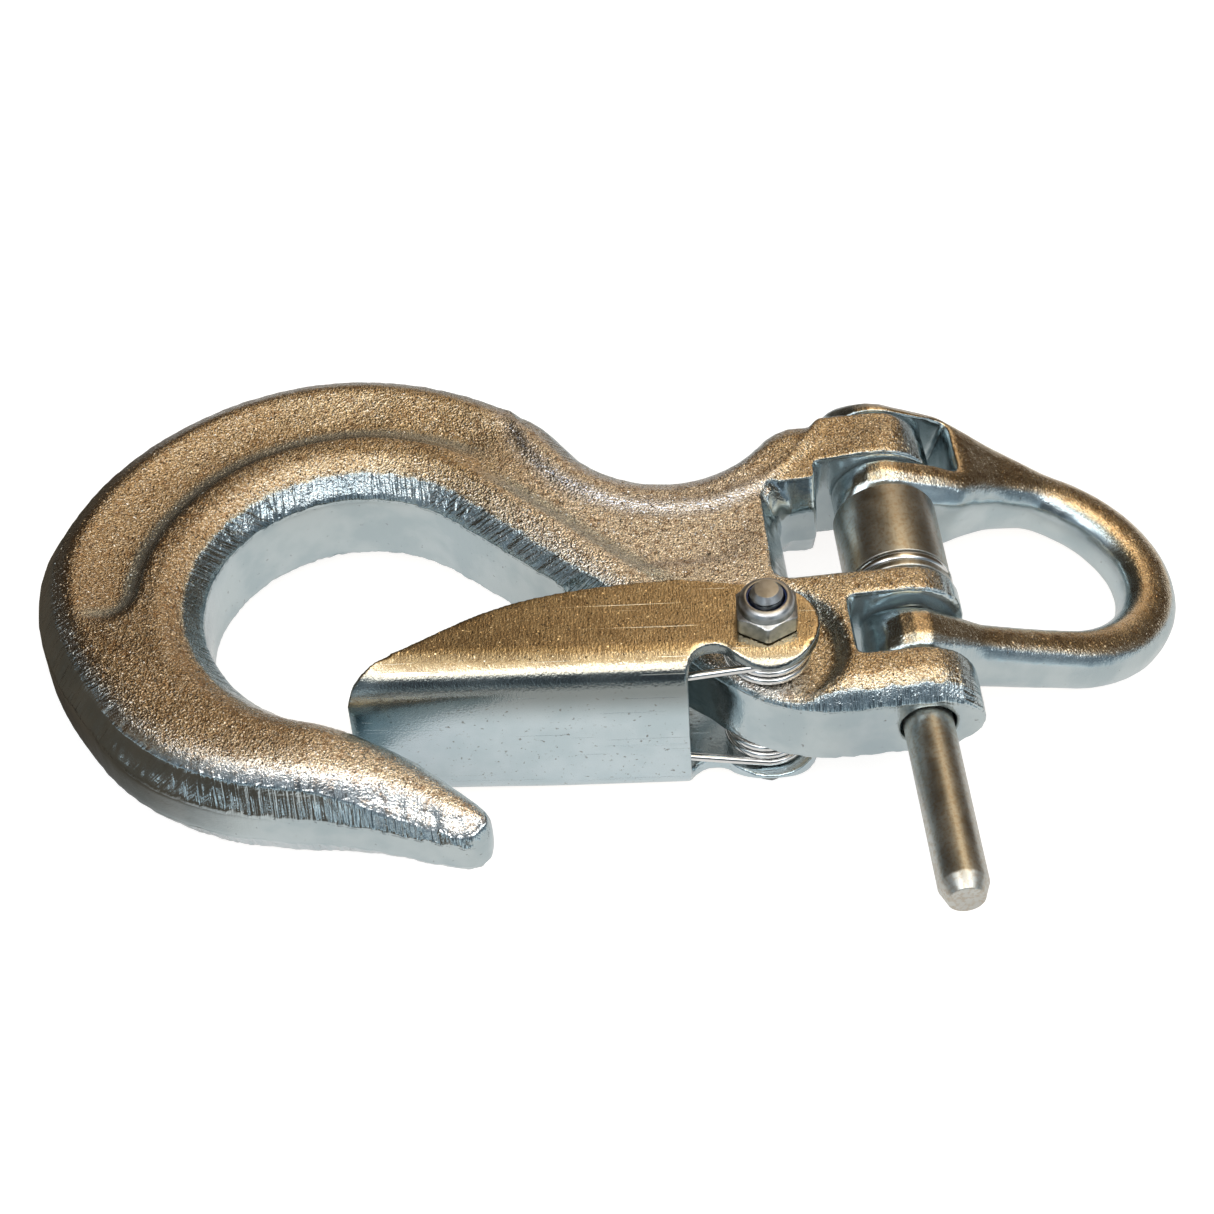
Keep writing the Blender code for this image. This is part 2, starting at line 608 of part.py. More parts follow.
def make_bush(frame, finish, ring_finish):
    """Centre bush with a groove near its near end, and the split ring that sits in it."""
    radius = BUSH_DIAMETER / 2.0
    bore = PIN_RADIUS + SEAT_GAP
    groove_near = BUSH_NEAR + RING_SETBACK
    groove_far = groove_near + RING_WIDTH + 2.0 * SEAT_GAP
    groove_radius = radius - RING_DEPTH - SEAT_GAP
    profile = ((bore, BUSH_NEAR), (radius - BUSH_CHAMFER, BUSH_NEAR), (radius, BUSH_NEAR + BUSH_CHAMFER),
               (radius, groove_near), (groove_radius, groove_near), (groove_radius, groove_far),
               (radius, groove_far), (radius, BUSH_FAR - BUSH_CHAMFER), (radius - BUSH_CHAMFER, BUSH_FAR),
               (bore, BUSH_FAR))
    loops = [circle_y(r, y) for r, y in profile]
    bush = link_object("centre_bush", loop_mesh("centre_bush", loops, ring=True), frame, finish)
    shade(bush)
    low = groove_near + SEAT_GAP
    high = low + RING_WIDTH
    inner = radius - RING_DEPTH
    outer = radius + RING_PROUD
    section = ((inner, low), (outer - RING_EDGE, low), (outer, low + RING_EDGE), (outer, high - RING_EDGE),
               (outer - RING_EDGE, high), (inner, high))
    start = NEAR_SIDE + RING_SPLIT / 2.0
    loops = []
    for i in range(ROUND_SIDES + 1):
        angle = start + (FULL_TURN - RING_SPLIT) * i / ROUND_SIDES
        loops.append([(r * math.cos(angle), y, r * math.sin(angle)) for r, y in section])
    ring = link_object("bush_lock_ring", loop_mesh("bush_lock_ring", loops), frame, ring_finish)
    shade(ring)
    return bush, ring


def hexagon(radius_limit, turn):
    """Hexagon across the bolt's flats, with its corners held to a radius."""
    sixth = FULL_TURN / 6.0
    points = []
    for i in range(HEX_POINTS):
        angle = FULL_TURN * i / HEX_POINTS
        off = (angle + sixth / 2.0) % sixth - sixth / 2.0
        radius = min(HEX_FLATS / 2.0 / math.cos(off), radius_limit)
        points.append(polar((0.0, 0.0), radius, angle + turn))
    return points


def round_loop(radius, turn):
    """Circle with as many points as a hexagon's outline."""
    return [polar((0.0, 0.0), radius, FULL_TURN * i / HEX_POINTS + turn) for i in range(HEX_POINTS)]


def make_bolt(frame, finish):
    """Latch bolt, head below the lower cheek."""
    seat = -LATCH_HALF_WIDTH - SEAT_GAP
    top = LATCH_HALF_WIDTH + SEAT_GAP + NUT_HEIGHT + BOLT_END_ABOVE_NUT
    loops = [raise_loop(round_loop(HEX_FLATS / 2.0 - HEX_CHAMFER, 0.0), -HEAD_BOTTOM),
             raise_loop(hexagon(HEX_FLATS, 0.0), -HEAD_BOTTOM + HEX_CHAMFER * 2.0),
             raise_loop(hexagon(HEX_FLATS, 0.0), seat),
             raise_loop(round_loop(BOLT_RADIUS, 0.0), seat),
             raise_loop(round_loop(BOLT_RADIUS, 0.0), top - BOLT_END_CHAMFER),
             raise_loop(round_loop(BOLT_RADIUS - BOLT_END_CHAMFER, 0.0), top)]
    bolt = link_object("latch_bolt", loop_mesh("latch_bolt", loops), frame, finish)
    shade(bolt)
    return bolt


def make_nut(frame, finish, nylon):
    """Lock nut on the upper cheek, and the nylon ring in its collar."""
    base = LATCH_HALF_WIDTH + SEAT_GAP
    bore = BOLT_RADIUS + SEAT_GAP
    pocket = bore + INSERT_WALL + SEAT_GAP
    collar = pocket + NUT_RIM
    top = base + NUT_HEIGHT
    floor = top - INSERT_HEIGHT - SEAT_GAP
    chamfered = HEX_FLATS / 2.0 + NUT_FACE_MARGIN
    loops = [raise_loop(round_loop(bore, NUT_TURN), base),
             raise_loop(hexagon(chamfered, NUT_TURN), base),
             raise_loop(hexagon(HEX_FLATS, NUT_TURN), base + HEX_CHAMFER),
             raise_loop(hexagon(HEX_FLATS, NUT_TURN), base + NUT_HEX_HEIGHT - HEX_CHAMFER),
             raise_loop(hexagon(chamfered, NUT_TURN), base + NUT_HEX_HEIGHT),
             raise_loop(round_loop(collar, NUT_TURN), base + NUT_HEX_HEIGHT + HEX_CHAMFER),
             raise_loop(round_loop(collar, NUT_TURN), top - 2.0 * HEX_CHAMFER),
             raise_loop(round_loop(collar - HEX_CHAMFER, NUT_TURN), top - NUT_RIM_DROP),
             raise_loop(round_loop(pocket, NUT_TURN), top),
             raise_loop(round_loop(pocket, NUT_TURN), floor),
             raise_loop(round_loop(bore, NUT_TURN), floor)]
    nut = link_object("lock_nut", loop_mesh("lock_nut", loops, ring=True), frame, finish)
    shade(nut)
    low = floor + SEAT_GAP
    high = low + INSERT_HEIGHT - SEAT_GAP
    outer = pocket - SEAT_GAP
    profile = ((bore, low), (outer, low), (outer, high - SEAT_GAP), (outer - SEAT_GAP, high), (bore, high))
    rings = [raise_loop(round_loop(r, NUT_TURN), z) for r, z in profile]
    insert = link_object("nylon_insert", loop_mesh("nylon_insert", rings, ring=True), frame, nylon)
    shade(insert)
    return nut, insert


def channel_section():
    """Folded channel across the latch: web towards the near side and two cheeks."""
    web = -WEB_OFFSET
    deep = CHEEK_EDGE * 3.0
    half = LATCH_HALF_WIDTH
    outside = []
    inside = []
    for sign in (1.0, -1.0):
        centre = (web + FOLD_RADIUS, half - FOLD_RADIUS)
        for points, radius in ((outside, FOLD_RADIUS), (inside, FOLD_RADIUS - SHEET)):
            bend = [(y, sign * z) for y, z in arc(centre, radius, QUARTER_TURN, 2.0 * QUARTER_TURN, CORNER_STEPS)]
            points.extend(bend if sign > 0 else reversed(bend))
    inner_half = half - SHEET
    return ([(deep, half)] + outside + [(deep, -half), (deep, -inner_half)]
            + list(reversed(inside)) + [(deep, inner_half)])


def cheek_outline():
    """Outline of the latch seen along its bolt: ear, notch, web and sloping nose."""
    beyond = -3.0 * WEB_OFFSET
    nose = (LATCH_LENGTH - NOSE_SETBACK, -WEB_OFFSET + SHEET)
    edge = bezier((CHEEK_EDGE_START, CHEEK_EDGE), CHEEK_CONTROLS[0], CHEEK_CONTROLS[1], nose, 2 * CORNER_STEPS)
    ear = arc(EAR_CENTRE, EAR_EDGE_RADIUS, EAR_START, EAR_TURN, 3 * CORNER_STEPS)
    notch = arc(NOTCH_CENTRE, NOTCH_RADIUS, NOTCH_TURN, 0.0, CORNER_STEPS)
    points = edge + [(LATCH_LENGTH, -WEB_OFFSET), (LATCH_LENGTH, beyond), (WEB_START, beyond)]
    points += list(reversed(notch)) + list(reversed(ear))
    return [(-a, b) for a, b in points]


def nose_outline():
    """Outline of the latch seen on its web, with the nose's corners rounded."""
    half = LATCH_HALF_WIDTH + NOSE_OVERSIZE
    corner = (LATCH_LENGTH - NOSE_CORNER, half - NOSE_CORNER)
    back = -2.0 * EAR_EDGE_RADIUS
    upper = arc(corner, NOSE_CORNER, QUARTER_TURN, 0.0, CORNER_STEPS)
    points = [(back, -half)] + [(a, -z) for a, z in upper] + list(reversed(upper)) + [(back, half)]
    return [(-a, z) for a, z in points]


def make_latch(frame, finish):
    """Folded sheet latch."""
    section = channel_section()
    ends = (2.0 * EAR_EDGE_RADIUS, -LATCH_LENGTH - NOSE_CORNER)
    body = loop_mesh("latch", [[(x, y, z) for y, z in section] for x in ends])
    latch = link_object("latch", body, frame, finish)
    cut(latch, prism("cheek_cut", cheek_outline(), -CUT_REACH, CUT_REACH), frame, "INTERSECT")
    nose = [[(x, y, z) for x, z in nose_outline()] for y in (-CUT_REACH, CUT_REACH)]
    cut(latch, loop_mesh("nose_cut", nose), frame, "INTERSECT")
    beyond = 2.0 * EAR_EDGE_RADIUS
    gap = [(beyond, 0.0), (-WEB_START, 0.0), (-WEB_START, -3.0 * WEB_OFFSET), (beyond, -3.0 * WEB_OFFSET)]
    inner_half = LATCH_HALF_WIDTH - SHEET
    cut(latch, prism("ear_gap_cut", gap, -inner_half, inner_half), frame)
    cut(latch, cylinder_z("latch_hole_cut", BOLT_HOLE_RADIUS, -CUT_REACH, CUT_REACH), frame)
    shade(latch)
    return latch


def spring_points():
    """Centre line of the double torsion spring, from one bearing tail to the other."""
    web_inside = -WEB_OFFSET + SHEET
    lie = web_inside + SEAT_GAP + WIRE / 2.0
    radius = -lie
    low = BOSS_HALF_THICKNESS + SEAT_GAP + WIRE / 2.0
    turns = int(SPRING_TURNS * POINTS_PER_TURN)
    coil = []
    for i in range(turns + 1):
        part = i / POINTS_PER_TURN
        angle = NEAR_SIDE + FULL_TURN * part
        x, y = polar((0.0, 0.0), radius, angle)
        coil.append((x, y, low + SPRING_PITCH * (SPRING_TURNS - part)))
    reach = BOSS_RECESS_RADIUS - SEAT_GAP - WIRE
    tail_length = math.sqrt(reach * reach - radius * radius)
    end_angle = NEAR_SIDE + FULL_TURN * turns / POINTS_PER_TURN
    ax, ay = -math.sin(end_angle), math.cos(end_angle)
    last = coil[-1]
    tail = [(last[0] + ax * tail_length * t, last[1] + ay * tail_length * t, last[2]) for t in TAIL_STEPS]
    arm_top = coil[0][2]
    leg = [(-SPRING_ARM * t, lie, blend(arm_top, BRIDGE_HALF + BRIDGE_CORNER, t)) for t in LEG_STEPS]
    bridge = []
    for i in range(1, BRIDGE_STEPS + 1):
        angle = QUARTER_TURN * i / BRIDGE_STEPS
        bridge.append((-SPRING_ARM - BRIDGE_CORNER * math.sin(angle), lie,
                       BRIDGE_HALF + BRIDGE_CORNER * math.cos(angle)))
    upper = list(reversed(tail)) + list(reversed(coil)) + leg + bridge
    return upper + [(x, y, -z) for x, y, z in reversed(upper)]


def least_gap(points, skip):
    """Least distance between the wire's surface and itself, on points and half points."""
    dense = []
    for p, q in zip(points, points[1:]):
        dense += [p, blend(p, q, 0.5)]
    least = math.inf
    for i, p in enumerate(dense):
        for q in dense[i + skip:]:
            least = min(least, math.dist(p, q))
    return least - WIRE


def make_spring(frame, finish):
    """Latch spring as one unbroken wire."""
    points = spring_points()
    curve = bpy.data.curves.new("latch_spring", "CURVE")
    curve.dimensions = "3D"
    curve.bevel_depth = WIRE / 2.0 * MM
    curve.bevel_resolution = 1
    curve.use_fill_caps = True
    spline = curve.splines.new("POLY")
    spline.points.add(len(points) - 1)
    for point, place in zip(spline.points, points):
        point.co = (*(Vector(place) * MM), 1.0)
    spring = link_object("latch_spring", curve, frame, finish)
    print("latch spring least gap to itself, mm:", round(least_gap(points, POINTS_PER_TURN), 3))
    return spring


def latch_closed_angle():
    """Angle at which the latch's nose meets the inside of the bowl, from the load line."""
    reach = math.hypot(LATCH_LENGTH, WEB_OFFSET)
    across = (BOWL_CENTRE[0] - BOLT_AXIS[0], BOWL_CENTRE[1] - BOLT_AXIS[1])
    span = math.hypot(*across)
    touch = BOWL_INNER_RADIUS - SEAT_GAP
    opening = math.acos((span * span + reach * reach - touch * touch) / (2.0 * span * reach))
    return math.atan2(across[1], -across[0]) - opening + math.atan2(WEB_OFFSET, LATCH_LENGTH)


def ground_slope():
    """Slope of the ground across the hook's plane, and its direction, when the hook lies at rest."""
    outward = (math.cos(REST_BEARING), math.sin(REST_BEARING))
    rim = polar(BOWL_CENTRE, RIM_CREST_RADIUS, REST_BEARING)
    run = (rim[0] - BOLT_AXIS[0]) * outward[0] + (rim[1] - BOLT_AXIS[1]) * outward[1]
    return (HEAD_BOTTOM - BOWL_HALF_THICKNESS) / run, outward, rim


def link_droop():
    """Angle below the hook's plane at which the link's ring meets the ground."""
    slope, outward, rim = ground_slope()
    low = 0.0
    high = QUARTER_TURN
    for _ in range(HALVINGS):
        middle = (low + high) / 2.0
        end = RING_CENTRE[0] + RING_RADII[0] - LINK_BEVELS[1]
        x = end * math.cos(middle) - LINK_HALF_THICKNESS * math.sin(middle)
        z = -end * math.sin(middle) - LINK_HALF_THICKNESS * math.cos(middle)
        rise = (x - rim[0]) * outward[0] + (RING_CENTRE[1] - rim[1]) * outward[1]
        if z > -BOWL_HALF_THICKNESS + slope * rise + SEAT_GAP:
            low = middle
        else:
            high = middle
    return low


def settle(root, pieces):
    """Stand the assembly on the ground with its box centred over the origin."""
    slope, outward, _ = ground_slope()
    normal = Vector((-slope * outward[0], -slope * outward[1], 1.0)).normalized()
    turn = normal.rotation_difference(Vector((0.0, 0.0, 1.0))).to_matrix().to_4x4()
    root.matrix_world = turn
    bpy.context.view_layer.update()
    graph = bpy.context.evaluated_depsgraph_get()
    corners = []
    for piece in pieces:
        shown = piece.evaluated_get(graph)
        mesh = shown.to_mesh()
        corners += [shown.matrix_world @ vertex.co for vertex in mesh.vertices]
        shown.to_mesh_clear()
    low = [min(c[k] for c in corners) for k in range(3)]
    high = [max(c[k] for c in corners) for k in range(3)]
    shift = Vector((-(low[0] + high[0]) / 2.0, -(low[1] + high[1]) / 2.0, -low[2]))
    root.matrix_world = Matrix.Translation(shift) @ turn
    bpy.context.view_layer.update()


def main():
    """Build the whole assembly."""
    for obj in list(bpy.data.objects):
        bpy.data.objects.remove(obj)
    forged = material("forged_zinc", (0.62, 0.58, 0.50), 0.38)
    sheet = material("sheet_zinc", (0.66, 0.65, 0.60), 0.28)
    turned = material("turned_zinc", (0.60, 0.59, 0.55), 0.30)
    polished = material("polished_wire", (0.78, 0.78, 0.78), 0.12)
    steel = material("dull_steel", (0.52, 0.51, 0.50), 0.35)
    nylon = material("blue_nylon", (0.02, 0.03, 0.12), 0.45, 0.0)

    root = empty("hook_frame")
    bolt_frame = empty("bolt_frame", root)
    bolt_frame.location = Vector((*BOLT_AXIS, 0.0)) * MM
    latch_frame = empty("latch_frame", bolt_frame)
    latch_frame.rotation_euler = (0.0, 0.0, -latch_closed_angle())
    link_frame = empty("link_frame", root)
    link_frame.rotation_euler = (0.0, link_droop(), 0.0)

    pieces = [make_hook(root, forged), make_link(link_frame, forged), make_pin(root, turned)]
    pieces += make_bush(root, turned, polished)
    pieces += [make_latch(latch_frame, sheet), make_bolt(bolt_frame, steel)]
    pieces += make_nut(bolt_frame, steel, nylon)
    pieces.append(make_spring(latch_frame, polished))
    settle(root, pieces)

    print("hook frame in the world:", [[round(v, 6) for v in row] for row in root.matrix_world])
    print("bolt in the world:", [round(v, 6) for v in bolt_frame.matrix_world.translation])
    print("latch closed angle, degrees:", round(math.degrees(latch_closed_angle()), 3))
    print("link droop, degrees:", round(math.degrees(link_droop()), 3))


main()
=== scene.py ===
"""Looks of a forged slip hook with a spring latch and a pinned coupling half link.

Shapes are written in millimetres in the hook's own frame, which is worked out from the joints:
X along the load line, Y along the load pin and Z square to the hook, from the middle of the pin's bore.
A span is the pair of values between which a share rises from 0 to 1, or falls from 1 to 0.
"""
import json
import math

import bmesh
import bpy
import numpy as np
from mathutils import Matrix, Vector, noise


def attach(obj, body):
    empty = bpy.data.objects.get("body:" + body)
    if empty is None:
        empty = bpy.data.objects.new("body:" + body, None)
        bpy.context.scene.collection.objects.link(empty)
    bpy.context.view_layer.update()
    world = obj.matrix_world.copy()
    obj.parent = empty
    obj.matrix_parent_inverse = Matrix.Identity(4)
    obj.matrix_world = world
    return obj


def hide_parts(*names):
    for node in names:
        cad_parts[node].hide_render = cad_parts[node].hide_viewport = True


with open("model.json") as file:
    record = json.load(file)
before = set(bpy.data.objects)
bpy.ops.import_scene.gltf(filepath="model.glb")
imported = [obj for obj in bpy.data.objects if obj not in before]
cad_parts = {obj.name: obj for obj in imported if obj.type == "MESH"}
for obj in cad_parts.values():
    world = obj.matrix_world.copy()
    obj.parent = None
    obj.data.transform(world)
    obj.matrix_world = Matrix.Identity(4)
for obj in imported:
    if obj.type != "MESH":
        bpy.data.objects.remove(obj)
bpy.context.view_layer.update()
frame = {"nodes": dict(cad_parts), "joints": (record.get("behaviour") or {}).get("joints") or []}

MM = 0.001
FULL_TURN = 2.0 * math.pi
IMAGE_SIZE = 1214

# Camera, in the hook's frame
CAMERA_PLACE = (-73.8, -393.2, 435.0)
CAMERA_RIGHT = (0.9943, -0.0958, -0.0469)
CAMERA_BACK = (-0.0291, -0.6661, 0.7453)
FOCAL_PIXELS = 3000.0
SENSOR = 36.0

# Attitudes of the moving pieces at rest
LATCH_ANGLE = math.radians(5.148)
LINK_DROOP = math.radians(19.011)

# Fineness of the pieces, and the share of the way that a point moves when a mesh is softened
HOOK_VOXEL = 0.68
LINK_VOXEL = 0.42
LATCH_VOXEL = 0.42
ROUND_SIDES = 120
CRISP_ANGLE = math.radians(32.0)
SOFTEN_STEP = 0.5

# Bowl of the hook, round its centre: widths by bearing in degrees, and half thickness
BOWL_CENTRE = (-105.5, -4.6)
BOWL_INNER = 28.6
BOWL_BEARINGS = (45.0, 100.0, 160.0, 205.0, 255.0)
BOWL_WIDTHS = (31.4, 34.6, 35.4, 26.6, 19.7)
BOWL_HALF = 13.2
BOWL_REACH = 55.0

# Die mark along the bowl: from its crisp inner wall it rises slowly to the outer bevel
CREASE = 11.8
CREASE_FOOT = (-2.0, 0.0)
CREASE_WIDTH = 6.0
CREASE_CORNER = 7.0
CREASE_DEPTH = 2.1
CREASE_END = 182.0
OUTER_BEVEL = 8.0
OUTER_FADE = (-0.6, 0.2)
MARK_LEAN = (0.4, 0.6)
MARK_START = (44.0, 64.0)
MARK_STOP = (194.0, 198.0)

# Neck's recess, between the shank's edge and the hollow: places along and across the shank
SHANK_END = (-85.3, 15.6)
SHANK_WAY = (0.707, -0.707)
SHANK_SIDE = (0.707, 0.707)
NECK_LENGTH = 65.0
NECK_THINNING = 2.2
NECK_LEAN = (0.45, 0.65)
NECK_START = (-14.0, -4.0)
NECK_STOP = (50.0, 60.0)
NECK_DEPTH = 0.95
NECK_LIFT_LIMITS = (-1.0, 2.6)
RECESS_STOP = (46.0, 58.0)
NECK_MARK = 10.3
NECK_RIM = (-3.5, -1.5)
NECK_WALL = (-1.0, 1.0)
HOLLOW_CENTRE = (-40.0, 42.0)
HOLLOW_EDGE = 31.0
HOLLOW_RIM = (-1.0, 1.0)
HOLLOW_WALL = (0.0, 2.2)

# Outer edge of the bowl's near side and the tip, which is rolled over and lowered
ROLL_ROUNDS = 50
ROLL_WIDTH = (-17.0, -12.0)
ROLL_START = (188.0, 214.0)
ROLL_STOP = (-88.0, -82.0)
ROLL_OUTWARD = (-0.2, 0.05)
ROLL_LEAN = (0.55, 0.75)
EDGE_DROP = 1.5
DROP_FACING = (0.1, 0.6)
DROP_START = (196.0, 222.0)
DROP_STOP = (-50.0, -40.0)
DROP_LOW = (0.0, 4.5)
DROP_HIGH = (7.5, 12.0)

# Hook's softening and skin; a wave is a grain size, a height and a seed
HOOK_ROUNDS = 3
CREST_ROUNDS = 5
CREST_LEAN = (0.62, 0.8)
COUPLING_START = (-34.0, -20.0)
COUPLING_FIRMNESS = 0.6
BOSS_EDGE = (15.0, 18.0)
LEAST_SOFTNESS = 0.12
HOOK_BORE = (5.6, 7.0)
HOOK_WAVES = ((11.0, 0.14, 3.0), (2.0, 0.03, 5.0))
BEVEL_LOW = (0.2, 0.45)
BEVEL_HIGH = (0.75, 0.92)
NEAR_FACING = (0.1, 0.4)
PRONG_START = (-36.0, -22.0)
STREAK_WAVES = ((1.1, 1.0, 0.0), (2.6, 0.6, 7.0))
STREAK_STRETCH = (1.0, 0.1, 0.1)
STREAK_HEIGHT = 0.1
NEAR_STREAK_HEIGHT = 0.12

# Half link's softening and skin
LINK_ROUNDS = 14
RING_ROUNDS = 40
RING_START = (8.0, 18.0)
EAR_SOFTNESS = 0.2
LINK_BORE = (5.4, 6.6)
LINK_WAVES = ((9.0, 0.1, 13.0), (1.8, 0.035, 15.0))

# Latch's softening, all over and then on the outside of its nose
LATCH_ROUNDS = 5
NOSE_ROUNDS = 200
NOSE_FACING = (0.0, 0.4)
NOSE_STOP = (-62.0, -36.0)

# Load pin's coned ends: steps of radius and length from the end's edge and from the shoulder
PIN_NOSE = 3.2
PIN_END_RADIUS = 3.4
PIN_END_STEPS = ((-0.15, 0.0), (0.0, 0.04), (0.12, 0.16))
PIN_SHOULDER_STEPS = ((-0.14, -0.2), (-0.04, 0.0), (0.0, 0.3))

# Bush and its ring
BUSH_EDGE = 0.5
BUSH_GAP = 0.3
GROOVE_GAP = 0.3
GROOVE_DEPTH = 2.1
GROOVE_EDGE = 0.2
GROOVE_STEPS = 3
RING_EDGE = 0.8
RING_STEPS = 10
RING_DEPTH = 2.05
RING_SPLIT = math.radians(14.0)
RING_SPLIT_PLACE = math.radians(270.0)

# Hexagon of the bolt's head and the nut
HEX_FLATS = 11.1
HEX_CHAMFER_RADIUS = 5.3
CHAMFER_SLOPE = math.tan(math.radians(60.0))

# Latch bolt: shank, head, thread and crowned end
BOLT_RADIUS = 3.175
BOLT_FILLET = 0.3
HEAD_HEIGHT = 3.4
HEAD_FACE_STEP = 0.3
HEAD_CHAMFER = (0.0, 0.12, 0.24, 0.36, 0.5, 0.7)
THREAD_PITCH = 1.27
THREAD_DEPTH = 0.3
THREAD_LENGTH = 4.5
THREAD_STEPS = 36
THREAD_RUN_OUT = 0.2
BOLT_END_RADIUS = 2.25
BOLT_END_SLOPE = 0.8
BOLT_CROWN_STEP = 0.2
BOLT_CROWN = 0.03

# Nut: the lip's steps are its radius beyond LIP_RADIUS and its depth below the top
NUT_BORE_GAP = 0.3
NUT_TURN = math.radians(-4.5)
NUT_SEAT_RADIUS = 6.2
NUT_SEAT_HEIGHT = 0.15
NUT_HEX_HEIGHT = 4.0
NUT_CHAMFER = (0.8, 0.65, 0.5, 0.38, 0.26, 0.14, 0.04)
COLLAR_RADIUS = 5.35
COLLAR_FOOT = 0.1
CRIMP_START = 0.3
CRIMP_TURN = 84.0
CRIMP_STEPS = 12
CRIMP_EDGE = 0.1
LIP_RADIUS = 3.75
LIP_STEPS = ((0.05, 0.04), (0.0, 0.15), (0.1, 0.4))
POCKET_RADIUS = 4.5
POCKET_TOP = 0.5
POCKET_FLOOR = 1.8
NYLON_EDGE = 0.25
NYLON_DISH = 0.1

# Latch spring, round the bolt
WIRE = 1.6
WIRE_SIDES = 14
SPRING_TURNS = 2.25
SPRING_START = math.radians(270.0)
SPRING_STEPS = 32
SPRING_PITCH = 2.2
SPRING_RADIUS = 7.6
SPRING_LOW = 9.25
SPRING_ARM = 33.0
ARM_SHARES = (0.1, 0.3, 0.5, 0.7, 0.9)
SPRING_TAIL = 7.5
TAIL_SHARES = (0.25, 0.5, 0.75, 1.0)
BRIDGE_HALF = 6.4
BRIDGE_CORNER = 2.4
BRIDGE_STEPS = 8

# Grey line of painted shade along the die mark's wall, round the bowl and along the neck, and the neck's
# silver line of painted sheen
MARK_LINE_IN = (0.8, 2.2)
MARK_LINE_OUT = (5.0, 3.2)
MARK_LINE_REACH = (14.0, 8.0)
MARK_LINE_START = (math.radians(-45.0), math.radians(-30.0))
NECK_LINE_IN = (-1.8, -0.6)
NECK_LINE_OUT = (3.2, 1.4)
NECK_LINE_START = (-4.0, 8.0)
NECK_LINE_STOP = (54.0, 42.0)
SHEEN_IN = (-1.5, 0.5)
SHEEN_OUT = (5.0, 2.5)

# Regions of the forgings' finish, in metres along X and Y
NEAR_X = (-0.05, -0.07)
NEAR_Y = (-0.02, -0.034)
NECK_X_START = (-0.085, -0.06)
NECK_X_STOP = (-0.018, -0.03)
TIP_X = (-0.065, -0.075)
TIP_Y = (-0.034, -0.05)
# Left of the bowl, where painted shade darkens the faces
LEFT_SHADE_X = (-0.095, -0.125)
LEFT_SHADE_Y = (0.05, 0.0)
WINDOW_X = (-0.045, -0.035)
SLOT_X_START = (-0.022, -0.014)
SLOT_X_STOP = (0.012, 0.004)
HEAD_Y = (0.037, 0.035)

# How squarely a surface faces out, for the parts of a finish
FACE_OUT = (0.76, 0.94)
NEAR_FACE_OUT = (0.45, 0.7)
SLOPE_OUT = (0.15, 0.4)
BLASTED_OUT = (0.55, 0.85)
TIP_FACE_OUT = (0.5, 0.7)
SLOT_WALL_OUT = (0.35, 0.15)
SHEET_FACE_OUT = (0.6, 0.92)
# Where the steel's lighter tops give way to its sides of painted shade
LIT_STEEL_TOP_OUT = (0.2, 0.6)

# How squarely a wall faces along X, for torn marks that lie across Y instead of X
SIDEWAYS = (0.3, 0.5)

# Strengths of the forgings' marks and painted light, each as a share of the whole
LEFT_SHADE_SHARE = 0.75
SHEEN_SHARE = 0.85
MARK_SHARE = 0.75
MARK_DULLNESS = 0.12
SLOT_DULLNESS = 0.22
FLAT_TEAR = 0.1
WINDOW_CALM = 0.85

# Spans of most of a noise's values and of its middle, and of chance where a grain of glitter is turned
NOISE_SPAN = (0.3, 0.7)
NOISE_MIDDLE = (0.35, 0.65)
GLITTER_EDGE = (-0.02, 0.02)

# Least and greatest roughness
HOOK_ROUGHNESS = (0.1, 0.17)
LINK_ROUGHNESS = (0.2, 0.27)
SHEET_ROUGHNESS = (0.15, 0.22)
TURNED_ROUGHNESS = (0.32, 0.4)
WIRE_ROUGHNESS = (0.1, 0.18)
STEEL_ROUGHNESS = (0.28, 0.42)

# Colours of the forgings; a pair is mixed by a cloudy noise. The faces' browns are partly a yellow passivate
# and partly a painted warm reflection of the surroundings
FORGED_BROWNS = ((0.72, 0.59, 0.41), (0.86, 0.76, 0.59))
# Painted shade: darker brown over the left of the bowl
LEFT_SHADE_BROWN = (0.44, 0.34, 0.24)
FROST_WHITE = (0.85, 0.83, 0.8)
NECK_SILVER = (0.97, 0.94, 0.9)
# Painted highlight: silver sheen along the bevel of the neck's hollow
PAINTED_SHEEN_SILVER = (0.76, 0.82, 0.98)
WALL_BLUES = ((0.46, 0.54, 0.57), (0.55, 0.62, 0.64))
TIP_GREY = (0.8, 0.8, 0.78)
# Painted shade: grey along the wall of the die mark's crease and the neck's recess
MARK_SHADE_GREY = (0.5, 0.55, 0.53)
GRAIN_WHITE = (0.96, 0.95, 0.93)
GRAIN_BROWN = (0.26, 0.19, 0.13)
RUST_BROWN = (0.4, 0.26, 0.15)
SPOT_GREY = (0.2, 0.19, 0.18)

# Latch sheet's colours, and the heights in metres over which painted shade darkens the web below its upper
# fold
# The faces' browns are partly the sheet's yellow passivate and partly a painted warm reflection
SHEET_BROWNS = ((0.76, 0.62, 0.42), (0.88, 0.75, 0.52))
MOTTLE_BROWN = (0.6, 0.47, 0.31)
FLECK_WHITE = (1.0, 0.93, 0.76)
SHEET_BLUES = ((0.54, 0.64, 0.68), (0.62, 0.71, 0.75))
FOLD_SHADE_GREY = (0.22, 0.24, 0.23)
FOLD_SHADE_Z = (0.004, 0.013)
SCORE_WHITE = (1.0, 0.95, 0.8)
SPECK_GREY = (0.2, 0.19, 0.17)

